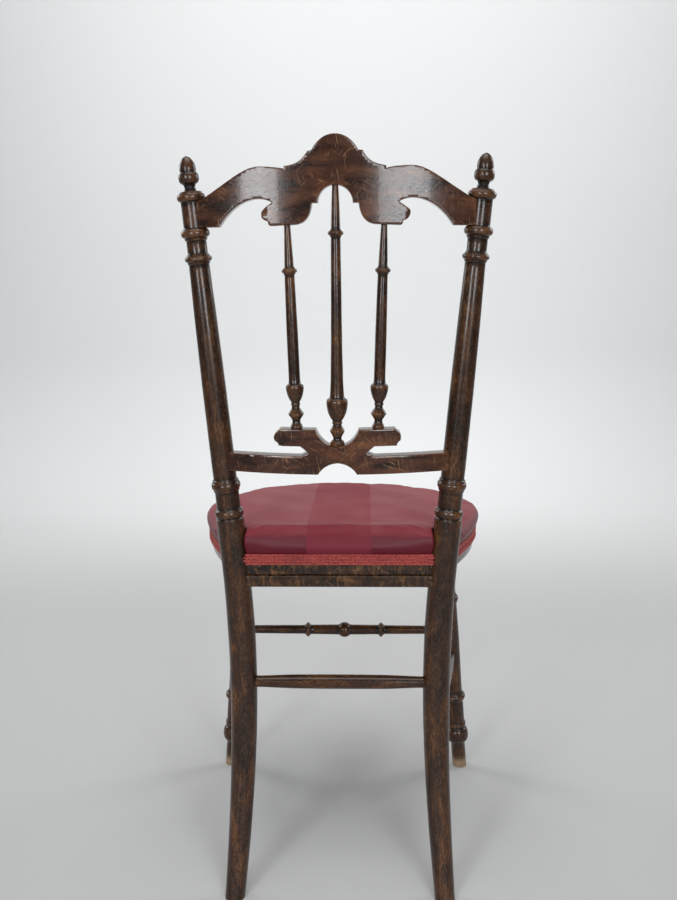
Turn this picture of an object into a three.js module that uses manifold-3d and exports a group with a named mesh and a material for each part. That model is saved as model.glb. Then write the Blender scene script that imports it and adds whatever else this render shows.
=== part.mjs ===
// A side chair with a turned back, a round stuffed seat and splayed turned legs.
// Millimetres, +Z up. The chair faces -Y, and +X is the sitter's left.
import * as THREE from "three";
import { mergeVertices } from "three/addons/utils/BufferGeometryUtils.js";
import Module from "manifold-3d";

const wasm = await Module();
wasm.setup();

// Driving dimensions of the back.
const jointHeight = 420; // where a post's straight upper part runs into its bent leg
const postSpread = 131; // half the spacing of the post axes at that height
const postDepth = 126; // the post axes behind the seat's middle line at that height
const postRise = 483.5; // from there to the finial's tip, along the post
const splay = THREE.MathUtils.degToRad(4.76); // the posts lean outwards
const rake = THREE.MathUtils.degToRad(4.5); // the back leans backwards
const backBow = 26; // the two back rails curve backwards between the posts
const boardThickness = 18; // of both back rails
const crestBlock = { start: 402.5, length: 30.5, radius: 12.6 }; // plain length of post behind the crest
const lowerRail = { start: 115, height: 22 }; // up the rake from the joint height
const postShaft = 14.5; // radius of the post at the lower rail
const postAtSeat = 17; // and at the seat
const tenon = { thickness: 8, margin: 4 }; // a rail's tenon, and its shoulder above and below
const fit = 0.3; // clearance between pieces that seat in or on each other

// Driving dimensions of the rear legs.
const rearFootSpread = 131;
const rearFootDepth = 186;
const legBend = 150; // length of the tangents that shape the bent leg
const footOutward = 0.07; // slope of the leg at the floor, sideways
const footBackward = 0.33; // and backwards
const floorTrim = 12; // a turned blank runs on past the floor and is sawn off level

// Driving dimensions of the front legs.
const frontFoot = new THREE.Vector2(185, -162); // where the left leg's axis meets the floor
const frontTop = new THREE.Vector2(150, -122); // and the underside of the seat frame
const legTenon = { radius: 8, length: 18 };

// Driving dimensions of the seat.
const seatHalfWidth = 186;
const seatRear = 134; // rear edge of the frame
const seatFront = -212;
const seatWidest = -50; // where the frame is widest
const frameDrop = 20.5; // underside of the frame below the joint height
const frameThickness = 27.5;
const railWidth = 33;
const apron = { height: 14.5, thickness: 20, rear: 136 };
const web = { width: 50, thickness: 1.5, spacing: 66, inset: 9 };
const hessianThickness = 1;
const stuffingRise = 37; // stuffing above the hessian at its crown
const clothThickness = 1.6;
const braid = { height: 14, thickness: 2.2 };

// Driving dimensions of the stretchers: height, and radius in the leg and at the middle.
const rearStretcher = { height: 258, end: 7.2, middle: 9.1 };
const frontStretcher = { height: 235, end: 6.4, middle: 7.9, ring: 11.2, spacing: 57 };
const sideStretcher = { front: 198, rear: 206, end: 6.4, middle: 8.2 };

const facets = { post: 12, spindle: 10, leg: 10, stretcher: 10, socket: 12, bead: 4, outline: 8, bow: 10 };

const stain = { roughness: 0.4, metalness: 0 };
const finishes = {
  sawn: new THREE.MeshStandardMaterial({ ...stain, color: 0x452c20 }),
  turned: new THREE.MeshStandardMaterial({ ...stain, color: 0x3b2618 }),
  cloth: new THREE.MeshStandardMaterial({ color: 0x8c3540, roughness: 0.7, metalness: 0 }),
  braid: new THREE.MeshStandardMaterial({ color: 0xa84a48, roughness: 0.85, metalness: 0 }),
  jute: new THREE.MeshStandardMaterial({ color: 0x9a7f58, roughness: 0.95, metalness: 0 }),
  hessian: new THREE.MeshStandardMaterial({ color: 0xa88d64, roughness: 0.95, metalness: 0 }),
  hair: new THREE.MeshStandardMaterial({ color: 0x2c2622, roughness: 1, metalness: 0 }),
};

const across = new THREE.Vector3(1, 0, 0);
const hands = [
  ["left", 1],
  ["right", -1],
];

// Groups: the back leans with the posts, so its own z runs up the rake from the joint height.
const chair = new THREE.Group();
const back = new THREE.Group();
const seat = new THREE.Group();
const underframe = new THREE.Group();
back.position.set(0, postDepth, jointHeight);
back.rotation.x = -rake;
chair.add(back, seat, underframe);

// Tools that shape the pieces lie on benches that share the groups' frames.
const bench = new THREE.Group();
const backBench = back.clone();

function solidOf(geometry) {
  const bare = geometry.index ? geometry.toNonIndexed() : geometry.clone();
  bare.deleteAttribute("normal");
  bare.deleteAttribute("uv");
  const merged = mergeVertices(bare, 1e-3);
  return new wasm.Manifold(
    new wasm.Mesh({
      numProp: 3,
      vertProperties: merged.attributes.position.array,
      triVerts: new Uint32Array(merged.index.array),
    }),
  );
}

function geometryOf(solid) {
  const { vertProperties, triVerts } = solid.getMesh();
  return new THREE.BufferGeometry()
    .setAttribute("position", new THREE.BufferAttribute(vertProperties, 3))
    .setIndex(new THREE.BufferAttribute(triVerts, 1));
}

function piece(name, geometry, material, parent) {
  const mesh = new THREE.Mesh(geometry, material);
  mesh.name = name;
  parent.add(mesh);
  return mesh;
}

// Joins tools to a mesh, cuts them from it, or keeps what it shares with them.
function shape(mesh, operation, ...tools) {
  mesh.updateWorldMatrix(true, false);
  let solid = solidOf(mesh.geometry);
  for (const tool of tools) {
    tool.updateWorldMatrix(true, false);
    const toMesh = mesh.matrixWorld.clone().invert().multiply(tool.matrixWorld);
    solid = solid[operation](solidOf(tool.geometry.clone().applyMatrix4(toMesh)));
  }
  mesh.geometry = geometryOf(solid);
  return mesh;
}

// Lays a turned piece, whose length runs along its own +Y, from one point towards another.
function layBetween(mesh, from, to) {
  mesh.position.copy(from);
  mesh.quaternion.setFromUnitVectors(new THREE.Vector3(0, 1, 0), to.clone().sub(from).normalize());
  return mesh;
}

// A drill that clears a radius from one point to another and a little past both.
function drill(from, to, radius, { past = 0, on = bench } = {}) {
  const length = from.distanceTo(to) + 2 * past;
  const outer = radius / Math.cos(Math.PI / facets.socket);
  const geometry = new THREE.CylinderGeometry(outer, outer, length, facets.socket);
  geometry.translate(0, length / 2 - past, 0);
  return layBetween(piece("", geometry, undefined, on), from, to);
}

function block(low, high, on = bench) {
  const size = high.clone().sub(low);
  const made = piece("", new THREE.BoxGeometry(size.x, size.y, size.z), undefined, on);
  made.position.copy(low).addScaledVector(size, 0.5);
  return made;
}

// A flat outline in x and y, extruded up z from a height.
function prism(outline, from, height) {
  const settings = { depth: height, bevelEnabled: false, curveSegments: facets.outline };
  return new THREE.ExtrudeGeometry(outline, settings).translate(0, 0, from);
}

// A turner's profile from the foot of a piece to its top. Heights run along the piece.
class Turning {
  constructor(height, radius) {
    this.points = [new THREE.Vector2(0, height), new THREE.Vector2(radius, height)];
  }
  get last() {
    return this.points.at(-1);
  }
  to(height, radius) {
    this.points.push(new THREE.Vector2(radius, height));
    return this;
  }
  // A rounded ring that swells to a radius and comes back to the last one, or to another.
  bead(height, radius, after = this.last.x) {
    const start = this.last.clone();
    const rise = radius - Math.max(start.x, after);
    for (let i = 1; i <= facets.bead; i++) {
      const turn = Math.PI * (i / facets.bead);
      const share = (1 - Math.cos(turn)) / 2;
      const foot = THREE.MathUtils.lerp(start.x, after, share);
      this.to(THREE.MathUtils.lerp(start.y, height, share), foot + rise * Math.sin(turn));
    }
    return this;
  }
  // A rounded tip that closes on the axis.
  tip(height) {
    const start = this.last.clone();
    for (let i = 1; i < facets.bead; i++) {
      const turn = (Math.PI / 2) * (i / facets.bead);
      this.to(start.y + (height - start.y) * Math.sin(turn), start.x * Math.cos(turn));
    }
    return this.to(height, 0);
  }
  geometry(sides) {
    if (this.last.x > 0) this.to(this.last.y, 0);
    return new THREE.LatheGeometry(this.points, sides);
  }
}

// Back posts: turned straight with their finials and legs, then bent below the seat

const upPost = (hand) =>
  new THREE.Vector3(hand * Math.sin(splay), 0, Math.cos(splay)).applyAxisAngle(across, -rake);
const spreadAt = (rise) => postSpread + rise * Math.tan(splay);
const floorSaw = block(new THREE.Vector3(-500, -500, -100), new THREE.Vector3(500, 500, 0));

class PostAxis {
  constructor(hand) {
    this.joint = new THREE.Vector3(hand * postSpread, postDepth, jointHeight);
    this.up = upPost(hand);
    const foot = new THREE.Vector3(hand * rearFootSpread, rearFootDepth, 0);
    this.rising = new THREE.Vector3(-hand * footOutward, -footBackward, 1);
    this.leg = new THREE.CubicBezierCurve3(
      this.joint,
      this.joint.clone().addScaledVector(this.up, -legBend),
      foot.clone().addScaledVector(this.rising, legBend),
      foot,
    );
    this.legLength = this.leg.getLength();
  }
  // The axis at a length above the joint, or below it where that is negative.
  along(length) {
    if (length >= 0) {
      return { point: this.joint.clone().addScaledVector(this.up, length), up: this.up.clone() };
    }
    const share = Math.min(1, -length / this.legLength);
    const past = Math.max(0, -length - this.legLength);
    const up = this.leg.getTangentAt(share).negate();
    return { point: this.leg.getPointAt(share).addScaledVector(up, -past), up };
  }
  // The axis of the leg at a height above the floor.
  atHeight(height) {
    let low = -this.legLength;
    let high = 0;
    for (let i = 0; i < 30; i++) {
      const middle = (low + high) / 2;
      if (this.along(middle).point.z < height) low = middle;
      else high = middle;
    }
    return this.along(low);
  }
  // Steam bending: moves a straight turned piece, which stands on +Y, onto the axis.
  bend(geometry) {
    const vertices = geometry.attributes.position;
    const vertex = new THREE.Vector3();
    for (let i = 0; i < vertices.count; i++) {
      vertex.fromBufferAttribute(vertices, i);
      const { point, up } = this.along(vertex.y);
      const aside = across.clone().addScaledVector(up, -across.dot(up)).normalize();
      const ahead = aside.clone().cross(up);
      point.addScaledVector(aside, vertex.x).addScaledVector(ahead, vertex.z);
      vertices.setXYZ(i, point.x, point.y, point.z);
    }
    return geometry;
  }
}

function postProfile(leg) {
  const blockTop = crestBlock.start + crestBlock.length;
  const cap = blockTop + 9;
  return new Turning(-leg - floorTrim, 12.2)
    .to(-leg, 12.4)
    .to(-leg * 0.84, 14)
    .to(-leg * 0.71, 15)
    .to(-leg * 0.53, 16.4)
    .to(-leg * 0.4, 17.1)
    .to(-leg * 0.2, 17.4)
    .to(-frameDrop - apron.height - 6, postAtSeat)
    .to(52, postAtSeat)
    .to(54, 15.6)
    .bead(64, 17.6)
    .to(64.5, 14.7)
    .to(87, 14.7)
    .to(87.5, 15.9)
    .to(90, 15.9)
    .bead(99, 17.8)
    .to(101.5, 15.9)
    .to(102, 14.4)
    .to(118, postShaft)
    .to(210, 14.3)
    .to(296, 13.3)
    .to(362, 12)
    .to(362.5, 13.2)
    .to(365, 13.2)
    .bead(371.5, 15.8)
    .to(373.5, 12.6)
    .to(374, 11.7)
    .to(389, 11.7)
    .to(389.5, 13)
    .to(crestBlock.start - 10, 13)
    .bead(crestBlock.start, 16.9, crestBlock.radius)
    .to(blockTop, crestBlock.radius)
    .bead(cap, 16.5, 13.2)
    .to(cap + 2, 12.8)
    .to(cap + 2.5, 7.4)
    .to(cap + 7, 6.2)
    .to(cap + 10, 7.2)
    .to(cap + 11, 8.6)
    .bead(cap + 23, 11.9, 9)
    .to(cap + 27, 9.5)
    .tip(postRise);
}

const axes = {};
const posts = {};
for (const [side, hand] of hands) {
  const axis = new PostAxis(hand);
  const turned = postProfile(axis.legLength).geometry(facets.post);
  axes[side] = axis;
  posts[side] = piece(`${side}_back_post`, axis.bend(turned), finishes.turned, chair);
  shape(posts[side], "subtract", floorSaw);
}

// Back rails: boards bent backwards, sawn to outline and tenoned into the posts

// Half outlines run from the middle to the post, and are mirrored to close the shape.
function mirrored(half) {
  const points = half.getPoints(facets.outline);
  const other = points.filter((p) => p.x > 1e-6).map((p) => new THREE.Vector2(-p.x, p.y));
  return new THREE.Shape([...points, ...other.reverse()]);
}

class BentRail {
  constructor(name, halfOutline, low, high, post) {
    const middle = (low + high) / 2;
    this.halfSpan = spreadAt(middle);
    this.radius = (this.halfSpan ** 2 + backBow ** 2) / (2 * backBow);
    this.mesh = piece(name, this.board(), finishes.sawn, back);
    shape(this.mesh, "intersect", this.pattern(halfOutline(this.halfSpan)));
    for (const [side, hand] of hands) this.seatIn(side, hand, low, high, post);
  }
  // How far back the board's middle lies at a distance from the chair's centre line.
  depthAt(x) {
    return backBow - this.radius + Math.sqrt(this.radius ** 2 - x ** 2);
  }
  board() {
    const reach = Math.asin((this.halfSpan + 30) / this.radius);
    const plan = new THREE.Shape();
    const middle = Math.PI / 2;
    const [inner, outer] = [this.radius - boardThickness / 2, this.radius + boardThickness / 2];
    plan.absarc(0, 0, outer, middle - reach, middle + reach, false);
    plan.absarc(0, 0, inner, middle + reach, middle - reach, true);
    const settings = { depth: 1000, bevelEnabled: false, curveSegments: facets.bow };
    return new THREE.ExtrudeGeometry(plan, settings).translate(0, backBow - this.radius, 0);
  }
  pattern(half) {
    const sawn = prism(mirrored(half), -250, 500).rotateX(Math.PI / 2);
    return piece("", sawn, undefined, backBench);
  }
  // Copes the board's end to the round post around a tenon, and mortises the post for it.
  seatIn(side, hand, low, high, post) {
    const onAxis = (rise) => new THREE.Vector3(hand * spreadAt(rise), 0, rise);
    const cope = drill(onAxis(low - 30), onAxis(high + 30), post + fit, { on: backBench });
    const tongue = (slack) => {
      const thick = tenon.thickness / 2 + slack;
      const ends = [hand * (this.halfSpan - 40), hand * (this.halfSpan + slack)];
      const floor = low + tenon.margin - slack;
      const top = high - tenon.margin + slack;
      const from = new THREE.Vector3(Math.min(...ends), -thick, floor);
      return block(from, new THREE.Vector3(Math.max(...ends), thick, top), backBench);
    };
    shape(cope, "subtract", tongue(0));
    shape(this.mesh, "subtract", cope);
    const trim = block(
      new THREE.Vector3(hand > 0 ? this.halfSpan : -this.halfSpan - 60, -60, low - 60),
      new THREE.Vector3(hand > 0 ? this.halfSpan + 60 : -this.halfSpan, 60, high + 60),
      backBench,
    );
    shape(this.mesh, "subtract", trim);
    shape(posts[side], "subtract", tongue(fit));
  }
}

// Crest rail: heights run from the flat under its ends
const crest = {
  foot: crestBlock.start * Math.cos(splay) + 1,
  arch: 19.5, // radius over the centre spindle
  archFoot: 25,
  lobe: 48, // middle of the lobe that holds an outer spindle
  lobeFoot: 1.5,
  end: 27, // height where the rail meets the post
  top: 98.5,
};

function crestOutline(halfSpan) {
  const half = new THREE.Path();
  half.absarc(0, crest.archFoot, crest.arch, Math.PI / 2, 0, true);
  half.lineTo(26, crest.archFoot);
  half.bezierCurveTo(28, 10, 34, crest.lobeFoot, crest.lobe, crest.lobeFoot);
  half.lineTo(73.5, crest.lobeFoot - 1);
  half.quadraticCurveTo(76.2, 1.5, 76.3, 5.8);
  half.bezierCurveTo(83, 6, 88, 15, 82, 19);
  half.lineTo(71.3, 26);
  half.quadraticCurveTo(78, 30.5, 87, 30.5);
  half.bezierCurveTo(106, 30.5, halfSpan - 43, 17, halfSpan - 32, 0);
  half.lineTo(halfSpan + 20, 0);
  half.lineTo(halfSpan + 20, crest.end - 9);
  half.lineTo(halfSpan - 13, crest.end);
  half.bezierCurveTo(halfSpan - 47, 51, 103, 65.2, 85, 65.2);
  half.quadraticCurveTo(70, 64.8, 57, 62.4);
  half.lineTo(57, 65.2);
  half.quadraticCurveTo(37.5, 66, 31, 81);
  half.lineTo(26, 81.3);
  half.bezierCurveTo(20, 92, 11, crest.top, 0, crest.top);
  return half;
}
const raised = (outline, by) => (halfSpan) => {
  const path = outline(halfSpan);
  const shifted = path.getPoints(facets.outline).map((p) => new THREE.Vector2(p.x, p.y + by));
  return new THREE.Path(shifted);
};
const crestTop = crest.foot + crestBlock.length - 1;
const crestRail = new BentRail(
  "crest_rail",
  raised(crestOutline, crest.foot),
  crest.foot,
  crestTop,
  crestBlock.radius,
);

// Lower back rail: heights run from its underside, and its wings hold the outer spindles
const wing = { under: 34, top: 54.3, tip: 75.5, notch: 26.3, floor: 33.7 };

function lowerOutline(halfSpan) {
  const half = new THREE.Path();
  half.moveTo(0, 14);
  half.quadraticCurveTo(15, 13, 23.2, 0);
  half.lineTo(halfSpan + 20, 0);
  half.lineTo(halfSpan + 20, lowerRail.height);
  half.lineTo(44, lowerRail.height);
  half.lineTo(34.7, wing.under - 7.5);
  half.lineTo(44, wing.under);
  half.lineTo(70.4, wing.under);
  half.quadraticCurveTo(70.6, 38, 74.5, 40);
  half.bezierCurveTo(wing.tip + 1, 43, wing.tip + 0.5, 49, 71, 51);
  half.lineTo(68.4, wing.top);
  half.lineTo(wing.notch - 1, wing.top);
  half.bezierCurveTo(20, 40, 10, wing.floor, 0, wing.floor);
  return half;
}
const lowerBackRail = new BentRail(
  "lower_back_rail",
  raised(lowerOutline, lowerRail.start),
  lowerRail.start,
  lowerRail.start + lowerRail.height,
  postShaft,
);

// Spindles: turned, with round ends that enter drilled holes in the two rails

const pin = { foot: 4.2, head: 3.5, depth: 12 };

function spindle(name, foot, head, urn, base) {
  const span = foot.distanceTo(head);
  const seated = urn(new Turning(-pin.depth, pin.foot).to(fit, pin.foot).to(fit, base), span)
    .to(span + pin.depth, pin.head);
  const mesh = piece(name, seated.geometry(facets.spindle), finishes.turned, back);
  layBetween(mesh, foot, head);
  const direction = head.clone().sub(foot).normalize();
  const on = backBench;
  const slack = pin.depth + fit;
  const below = foot.clone().addScaledVector(direction, -slack);
  const above = head.clone().addScaledVector(direction, slack);
  const seatAbove = foot.clone().addScaledVector(direction, 12);
  const recess = drill(foot, seatAbove, base + fit, { on });
  shape(lowerBackRail.mesh, "subtract", drill(below, foot, pin.foot + fit, { past: 1, on }), recess);
  const enter = head.clone().addScaledVector(direction, -12);
  shape(crestRail.mesh, "subtract", drill(enter, above, pin.head + fit, { on }));
}

const centreFoot = new THREE.Vector3(0, lowerBackRail.depthAt(0), lowerRail.start + wing.floor);
const centreHead = new THREE.Vector3(
  0,
  crestRail.depthAt(0),
  crest.foot + crest.archFoot + crest.arch,
);
spindle(
  "centre_spindle",
  centreFoot,
  centreHead,
  (turning, span) =>
    turning
      .to(1.2, 6.4)
      .bead(8.5, 9.8, 5.2)
      .to(12, 4.9)
      .to(14, 6)
      .bead(25, 9.2, 5.8)
      .to(30, 5.3)
      .to(37, 7)
      .to(47, 11.4)
      .to(52, 12.2)
      .to(55, 12.2)
      .to(58, 8.6)
      .to(62, 8.1)
      .to(77, 7.4)
      .to(118, 6.6)
      .to(172, 6.1)
      .to(span - 63, 5.5)
      .bead(span - 55, 8.8, 5.2)
      .to(span - 22, 4.6)
      .to(span - 2, pin.head),
  6.4,
);
for (const [side, hand] of hands) {
  const footX = hand * 48.3;
  const headX = hand * 54.9;
  const foot = new THREE.Vector3(footX, lowerBackRail.depthAt(footX), lowerRail.start + wing.top);
  const head = new THREE.Vector3(headX, crestRail.depthAt(headX), crest.foot + crest.lobeFoot - 0.3);
  spindle(
    `${side}_spindle`,
    foot,
    head,
    (turning, span) =>
      turning
        .to(1.5, 7)
        .to(4.5, 5)
        .to(9, 4.1)
        .to(11, 5.6)
        .bead(22, 9, 5)
        .to(27.5, 4.7)
        .to(32, 5.4)
        .to(43, 9.7)
        .to(47, 10.2)
        .to(50, 10.1)
        .to(54, 7.2)
        .to(58, 6.7)
        .to(112, 6.6)
        .to(152, 6.1)
        .to(span - 55.5, 5.7)
        .bead(span - 46.5, 8.9, 5.2)
        .to(span - 18, 4.3)
        .to(span - 2, pin.head),
    5.8,
  );
}

// Seat frame: four rails round the seat, notched to the posts, on an apron between them

const frameBottom = jointHeight - frameDrop;
const frameTop = frameBottom + frameThickness;
const seatMiddle = (seatRear + seatFront) / 2;
const quarter = 0.5523; // pull of a curve's control points that makes a quarter ellipse

// Plan of the frame, grown from the seat's middle by a length.
function seatPlan(grow = 0) {
  const half = new THREE.Path();
  const frontDepth = seatFront - seatWidest;
  half.moveTo(0, seatRear);
  half.lineTo(postSpread, seatRear);
  half.bezierCurveTo(postSpread + 19, 90, seatHalfWidth, 10, seatHalfWidth, seatWidest);
  half.bezierCurveTo(
    seatHalfWidth,
    seatWidest + quarter * frontDepth,
    quarter * seatHalfWidth,
    seatFront,
    0,
    seatFront,
  );
  const scale = 1 + grow / seatHalfWidth;
  return mirrored(half)
    .getPoints()
    .map((p) => new THREE.Vector2(p.x * scale, seatMiddle + (p.y - seatMiddle) * scale));
}
const seatPrism = (grow, from, height) => prism(new THREE.Shape(seatPlan(grow)), from, height);

// Cutters for the posts where the seat is notched round them.
const postCutters = hands.map(([side]) => {
  const low = axes[side].atHeight(frameBottom);
  const high = axes[side].along(52);
  const middle = axes[side].atHeight((frameBottom + jointHeight) / 2).point;
  const direction = high.point.clone().sub(low.point).normalize();
  const from = middle.clone().addScaledVector(direction, -60);
  return drill(from, middle.clone().addScaledVector(direction, 120), postAtSeat + fit);
});

function wedge(apex, half, towards, from, height) {
  const far = 400;
  const plan = new THREE.Shape([
    new THREE.Vector2(0, apex),
    new THREE.Vector2(half * far, apex + towards * far),
    new THREE.Vector2(-half * far, apex + towards * far),
  ]);
  return piece("", prism(plan, from, height), undefined, bench);
}
const mitre = postDepth - postSpread; // the rear joints run in at 45 degrees from the posts
const frontJoint = { apex: seatMiddle, half: Math.tan(THREE.MathUtils.degToRad(35)) };
const gapHalf = fit * 0.75;
const tall = [frameBottom - 100, 300];

const ring = () => {
  const whole = piece("", seatPrism(0, frameBottom, frameThickness), undefined, bench);
  const inside = seatPrism(-railWidth, frameBottom - 10, frameThickness + 20);
  return shape(whole, "subtract", piece("", inside, undefined, bench), ...postCutters);
};
const rails = {
  rear: shape(ring(), "intersect", wedge(mitre + gapHalf, 1, 1, ...tall)),
  front: shape(ring(), "intersect", wedge(frontJoint.apex - gapHalf, frontJoint.half, -1, ...tall)),
};
for (const [side, hand] of hands) {
  const own = block(
    new THREE.Vector3(hand > 0 ? 0 : -400, -400, frameBottom - 10),
    new THREE.Vector3(hand > 0 ? 400 : 0, 400, frameTop + 10),
  );
  rails[side] = shape(
    shape(ring(), "intersect", own),
    "subtract",
    wedge(mitre - gapHalf, 1, 1, ...tall),
    wedge(frontJoint.apex + gapHalf, frontJoint.half, -1, ...tall),
  );
}
for (const [end, rail] of Object.entries(rails)) {
  rails[end] = piece(`seat_rail_${end}`, rail.geometry, finishes.sawn, seat);
}

// A straight rail's tenons into both posts, and the mortises that take them.
function tenonBetweenPosts(rail, low, high, middleDepth) {
  for (const [side, hand] of hands) {
    const tongue = (slack, inner) => {
      const ends = [hand * inner, hand * (postSpread + slack)];
      const thick = tenon.thickness / 2 + slack;
      return block(
        new THREE.Vector3(Math.min(...ends), middleDepth - thick, low + tenon.margin - slack),
        new THREE.Vector3(Math.max(...ends), middleDepth + thick, high - tenon.margin + slack),
      );
    };
    shape(rail, "add", tongue(0, postSpread - postAtSeat - 10));
    shape(posts[side], "subtract", tongue(fit, 0));
  }
}
const apronTop = frameBottom - fit;
const apronRail = piece(
  "back_apron",
  new THREE.BoxGeometry(2 * postSpread, apron.thickness, apron.height),
  finishes.sawn,
  seat,
);
apronRail.position.set(0, apron.rear - apron.thickness / 2, apronTop - apron.height / 2);
const apronCutters = hands.map(([side]) => {
  const { point, up } = axes[side].atHeight(apronTop - apron.height / 2);
  const from = point.clone().addScaledVector(up, -40);
  return drill(from, point.clone().addScaledVector(up, 40), postAtSeat + fit);
});
const apronEnds = hands.map(([side, hand]) =>
  block(
    new THREE.Vector3(hand > 0 ? postSpread - 6 : -postSpread - 60, 0, 0),
    new THREE.Vector3(hand > 0 ? postSpread + 60 : -postSpread + 6, 300, 600),
  ),
);
shape(apronRail, "subtract", ...apronCutters, ...apronEnds);
tenonBetweenPosts(apronRail, apronTop - apron.height, apronTop, postDepth);
tenonBetweenPosts(rails.rear, frameBottom, frameTop, postDepth);

// Front legs: turned, tenoned up into the side rails and sawn level at the floor

function legProfile(length) {
  return new Turning(-floorTrim, 11.2)
    .to(0, 10.9)
    .to(22, 11.2)
    .to(38, 11)
    .to(46, 13.2)
    .bead(69, 17.6, 12.6)
    .to(71, 12.4)
    .bead(79, 14.6, 12.9)
    .to(117, 13)
    .to(119, 14)
    .bead(129, 16.6, 14)
    .to(132, 12.4)
    .to(150, 12.6)
    .to(220, 13.8)
    .to(283, 13.6)
    .to(286, 14.2)
    .bead(296, 16.5, 14.2)
    .to(299, 13.2)
    .to(length - 12, 12.6)
    .to(length + 20, 12.6);
}
const legs = {};
const legAxes = {};
for (const [side, hand] of hands) {
  const foot = new THREE.Vector3(hand * frontFoot.x, frontFoot.y, 0);
  const top = new THREE.Vector3(hand * frontTop.x, frontTop.y, frameBottom);
  const length = foot.distanceTo(top);
  legAxes[side] = new THREE.Line3(foot, top);
  legs[side] = layBetween(
    piece(`${side}_front_leg`, legProfile(length).geometry(facets.leg), finishes.turned, underframe),
    foot,
    top,
  );
  const shoulder = block(
    new THREE.Vector3(-500, -500, frameBottom - fit),
    new THREE.Vector3(500, 500, frameBottom + 200),
  );
  shape(legs[side], "subtract", floorSaw, shoulder);
  const pegProfile = new Turning(length - 20, legTenon.radius).to(length + legTenon.length, legTenon.radius);
  const peg = layBetween(piece("", pegProfile.geometry(facets.leg), undefined, bench), foot, top);
  shape(legs[side], "add", peg);
  const up = top.clone().sub(foot).normalize();
  const enter = top.clone().addScaledVector(up, -20);
  const end = top.clone().addScaledVector(up, legTenon.length + fit);
  shape(rails[side], "subtract", drill(enter, end, legTenon.radius + fit));
}

// Stretchers: turned, and driven into holes bored to the middle of the legs

const onLeg = (side, height) => {
  const { start, end } = legAxes[side];
  return start.clone().lerp(end, height / end.z);
};

function stretcher(name, from, to, profile, end, [first, second]) {
  const length = from.distanceTo(to);
  const turned = profile(new Turning(0, end), length).to(length, end);
  layBetween(piece(name, turned.geometry(facets.stretcher), finishes.turned, underframe), from, to);
  const bore = drill(from, to, end + fit, { past: fit });
  shape(first, "subtract", bore);
  shape(second, "subtract", bore);
}
const cigar = (end, middle) => (turning, length) =>
  turning
    .to(24, end)
    .to(length * 0.25, (end + middle) / 2 + 0.6)
    .to(length * 0.42, middle)
    .to(length * 0.58, middle)
    .to(length * 0.75, (end + middle) / 2 + 0.6)
    .to(length - 24, end);

stretcher(
  "rear_stretcher",
  axes.left.atHeight(rearStretcher.height).point,
  axes.right.atHeight(rearStretcher.height).point,
  cigar(rearStretcher.end, rearStretcher.middle),
  rearStretcher.end,
  [posts.left, posts.right],
);
stretcher(
  "front_stretcher",
  onLeg("left", frontStretcher.height),
  onLeg("right", frontStretcher.height),
  (turning, length) => {
    const { end, middle, ring: rim, spacing } = frontStretcher;
    turning.to(24, end).to(length / 2 - spacing - 4, middle - 1);
    turning.bead(length / 2 - spacing + 4, rim, middle - 0.6).to(length / 2 - 9, middle);
    turning.bead(length / 2 + 9, rim).to(length / 2 + spacing - 4, middle - 0.6);
    return turning.bead(length / 2 + spacing + 4, rim, middle - 1).to(length - 24, end);
  },
  frontStretcher.end,
  [legs.left, legs.right],
);
for (const [side] of hands) {
  stretcher(
    `${side}_stretcher`,
    onLeg(side, sideStretcher.front),
    axes[side].atHeight(sideStretcher.rear).point,
    cigar(sideStretcher.end, sideStretcher.middle),
    sideStretcher.end,
    [legs[side], posts[side]],
  );
}

// Webbing and hessian over the frame

const webLow = frameTop + fit;
const webHigh = webLow + web.thickness + fit;
const hessianBottom = webHigh + web.thickness + fit;
const withinFrame = piece("", seatPrism(-web.inset, frameTop, 50), undefined, bench);
for (const [index, place] of [-1, 0, 1].entries()) {
  const cross = piece(
    `webbing_cross_${index + 1}`,
    new THREE.BoxGeometry(3 * seatHalfWidth, web.width, web.thickness),
    finishes.jute,
    seat,
  );
  cross.position.set(0, seatMiddle + place * web.spacing, webLow + web.thickness / 2);
  shape(cross, "intersect", withinFrame);
  const long = piece(
    `webbing_long_${index + 1}`,
    new THREE.BoxGeometry(web.width, 3 * seatHalfWidth, web.thickness),
    finishes.jute,
    seat,
  );
  long.position.set(place * web.spacing, seatMiddle, webHigh + web.thickness / 2);
  shape(long, "intersect", withinFrame);
}
const hessian = seatPrism(-web.inset, hessianBottom, hessianThickness);
shape(piece("hessian", hessian, finishes.hessian, seat), "subtract", ...postCutters);

// Stuffing, cover and braid

// A closed skin through level outlines, capped flat below and by a fan above.
function loft(levels) {
  const rings = levels.map(([height, grow]) =>
    seatPlan(grow).map((p) => new THREE.Vector3(p.x, p.y, height)),
  );
  const count = rings[0].length;
  const corners = rings.flat();
  const [bottom, top] = [levels[0][0], levels.at(-1)[0]];
  corners.push(new THREE.Vector3(0, seatMiddle, bottom), new THREE.Vector3(0, seatMiddle, top));
  const faces = [];
  for (let i = 0; i < count; i++) {
    const next = (i + 1) % count;
    for (let level = 0; level + 1 < rings.length; level++) {
      const [a, b] = [level * count + i, level * count + next];
      faces.push(a, a + count, b, b, a + count, b + count);
    }
    const last = (rings.length - 1) * count;
    faces.push(corners.length - 2, i, next, corners.length - 1, last + next, last + i);
  }
  return new THREE.BufferGeometry().setFromPoints(corners).setIndex(faces);
}
const stuffingBottom = hessianBottom + hessianThickness + fit;
// The stuffing's rounded edge and crown: share of its rise, and growth past the frame's plan.
const cushion = [
  [0, 0],
  [0.18, 5],
  [0.42, 6],
  [0.6, 1],
  [0.72, -12],
  [0.84, -45],
  [0.94, -90],
  [1, -140],
];
const cushionLevels = (skin) =>
  cushion.map(([share, grow]) => [stuffingBottom + share * stuffingRise + skin * share, grow + skin]);

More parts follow.
